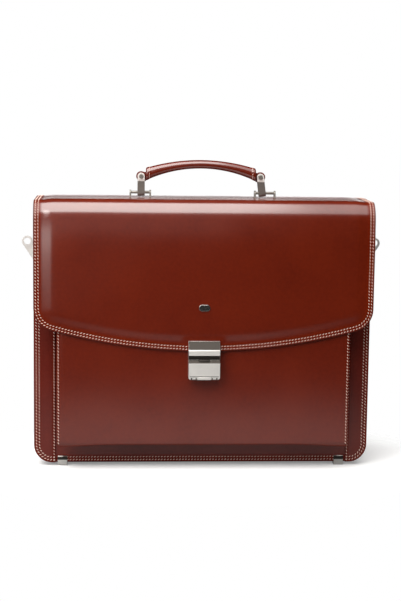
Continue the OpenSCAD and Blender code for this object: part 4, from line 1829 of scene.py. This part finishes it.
LAMPS = (
    Lamp("overhead", (-0.32, -0.5, 1.275), (-0.32, -0.149, 0.03), (1.1, 1.42), 21.5),
    Lamp("overhead_right", (0.54, -0.5, 1.275), (0.54, -0.149, 0.03), (0.62, 1.42), 4.2),
    Lamp("front_soft", (-0.85, -2.0, 0.95), (-0.3, -0.07, 0.3), (2.4, 1.5), 2.1),
    Lamp("left_panel", (-0.75, -0.8, 0.75), (-0.1, 0.0, 0.27), (0.6, 0.6), 5.6),
    Lamp("left_strip", (-0.8, -1.55, 0.22), (-0.2, -0.07, 0.25), (0.85, 0.3), 1.2))


@dataclass
class Studio:
    """Floor, lights and camera.

    The floor is a rectangle about floor_y, and what the camera sees of it ends at an oval. Its
    tone is paper with some glow for the camera, plain for soft light and bounce for reflections.
    """

    camera_place: Vector = field(default_factory=lambda: Vector((-108.9, -1805.7, 461.5)) * MM)
    pitch: float = 8.04
    yaw: float = 3.41
    roll: float = 0.7
    focal_px: float = 1438.8
    frame_px: float = 601
    sensor: float = 36.0
    floor_half: Point = (0.9, 0.62)
    floor_y: float = -0.02
    oval: Point = (0.32, 0.2)
    paper: float = 0.85
    glow: float = 0.25
    plain: float = 0.5
    bounce: float = 0.18
    tint: Place = (1.0, 0.985, 0.955)

    def camera(self) -> None:
        """Places the camera at the photograph's viewing angle."""
        data = bpy.data.cameras.new("camera")
        data.sensor_width = self.sensor
        data.lens = self.focal_px / self.frame_px * self.sensor
        camera = add_object("camera", data)
        camera.matrix_world = (Matrix.Translation(self.camera_place)
                               @ Matrix.Rotation(math.radians(-self.yaw), 4, "Z")
                               @ Matrix.Rotation(math.radians(90 - self.pitch), 4, "X")
                               @ Matrix.Rotation(math.radians(self.roll), 4, "Z"))
        bpy.context.scene.camera = camera

    def light(self, lamp: Lamp) -> None:
        """Adds a lamp.

        Args:
            lamp: The lamp.
        """
        data = bpy.data.lights.new(lamp.name, "AREA")
        data.color = self.tint
        data.shape = "RECTANGLE"
        data.size, data.size_y = lamp.size
        data.energy = lamp.power
        made = add_object(lamp.name, data)
        made.location = lamp.place
        way = Vector(lamp.aim) - Vector(lamp.place)
        made.rotation_euler = way.to_track_quat("-Z", "Y").to_euler()

    def floor(self) -> None:
        """Makes a white floor that keeps the case's shadow and fades out around it."""
        wide, deep = self.floor_half
        bm = bmesh.new()
        bmesh.ops.create_grid(bm, x_segments=1, y_segments=1, size=1.0)
        for vert in bm.verts:
            vert.co = Vector((vert.co.x * wide, vert.co.y * deep + self.floor_y, 0.0))
        tidy_object("floor", bm, [self.floor_finish()])

    def floor_finish(self) -> bpy.types.Material:
        """Makes the floor's material, which differs by the kind of ray that meets it.

        Returns:
            The material.
        """
        material, graph = new_graph("white_floor")
        scale = (1 / self.oval[0], 1 / self.oval[1], 1.0)
        oval = graph.node("ShaderNodeMapping", {}, {"Vector": graph.place(), "Scale": scale})
        reach = graph.node("ShaderNodeVectorMath", {"operation": "LENGTH"}, {0: oval}, out="Value")
        clear = graph.node("ShaderNodeBsdfTransparent")
        paper, plain, bounce = (graph.node("ShaderNodeBsdfDiffuse", {}, {"Color": grey(tone)})
                                for tone in (self.paper, self.plain, self.bounce))
        glow = graph.node("ShaderNodeEmission", {}, {"Color": grey(1.0), "Strength": self.glow})
        bright = graph.node("ShaderNodeAddShader", {}, {0: paper, 1: glow})
        seen = graph.mix(graph.ramp(reach, 0.8, 1.12), bright, clear)
        lit = graph.mix(graph.ray("Is Glossy Ray"), plain, bounce)
        unseen = graph.mix(graph.ramp(reach, 1.4, 3.2), lit, clear)
        mixed = graph.mix(graph.ray("Is Camera Ray"), unseen, seen)
        graph.node("ShaderNodeOutputMaterial", {}, {"Surface": mixed})
        return material

    def world(self) -> None:
        """Makes a plain surround that the camera sees as white.

        Soft light comes from above and more from the left. Reflections see a near-black room
        with one bright stretch at the horizon behind the case.
        """
        world = bpy.data.worlds.new("surround")
        world.use_nodes = True
        bpy.context.scene.world = world
        graph = Graph(world.node_tree)
        way = graph.node("ShaderNodeTexCoord", {}, {}, out="Generated")
        right, back, up = (graph.node("ShaderNodeSeparateXYZ", {}, {"Vector": way}, out=axis)
                           for axis in "XYZ")
        sky = graph.ramp(up, 0.12, 1.4) * 1.3 + 0.06
        soft = sky * (1.2 - graph.ramp(right, -0.8, 1.2) * 0.9)
        low = graph.ramp(up, -0.13, -0.05) * (1.0 - graph.ramp(up, 0.05, 0.085))
        sharp = graph.ramp(back, 0.93, 0.98) * low * 1.8 + 0.006
        camera, gloss = graph.ray("Is Camera Ray"), graph.ray("Is Glossy Ray")
        strength = camera + (1.0 - camera) * (gloss * sharp + (1.0 - gloss) * soft)
        surround = graph.node("ShaderNodeBackground", {}, {"Color": grey(1.0), "Strength": strength})
        graph.node("ShaderNodeOutputWorld", {}, {"Surface": surround})

    def build(self) -> None:
        """Makes the whole studio."""
        self.camera()
        self.floor()
        self.world()
        for lamp in LAMPS:
            self.light(lamp)
        bpy.context.scene.view_settings.view_transform = "Standard"


def main() -> None:
    """Builds the studio and every piece of the case in order."""
    logging.basicConfig(level=logging.INFO, format="%(name)s %(message)s")
    finishes = Finishes()
    Studio().build()
    Case(finishes).build()
    Pocket(finishes).build()
    Flap(finishes).build()
    Handle(finishes).build()
    Hardware(finishes).build()


if __name__ == "__main__":
    main()
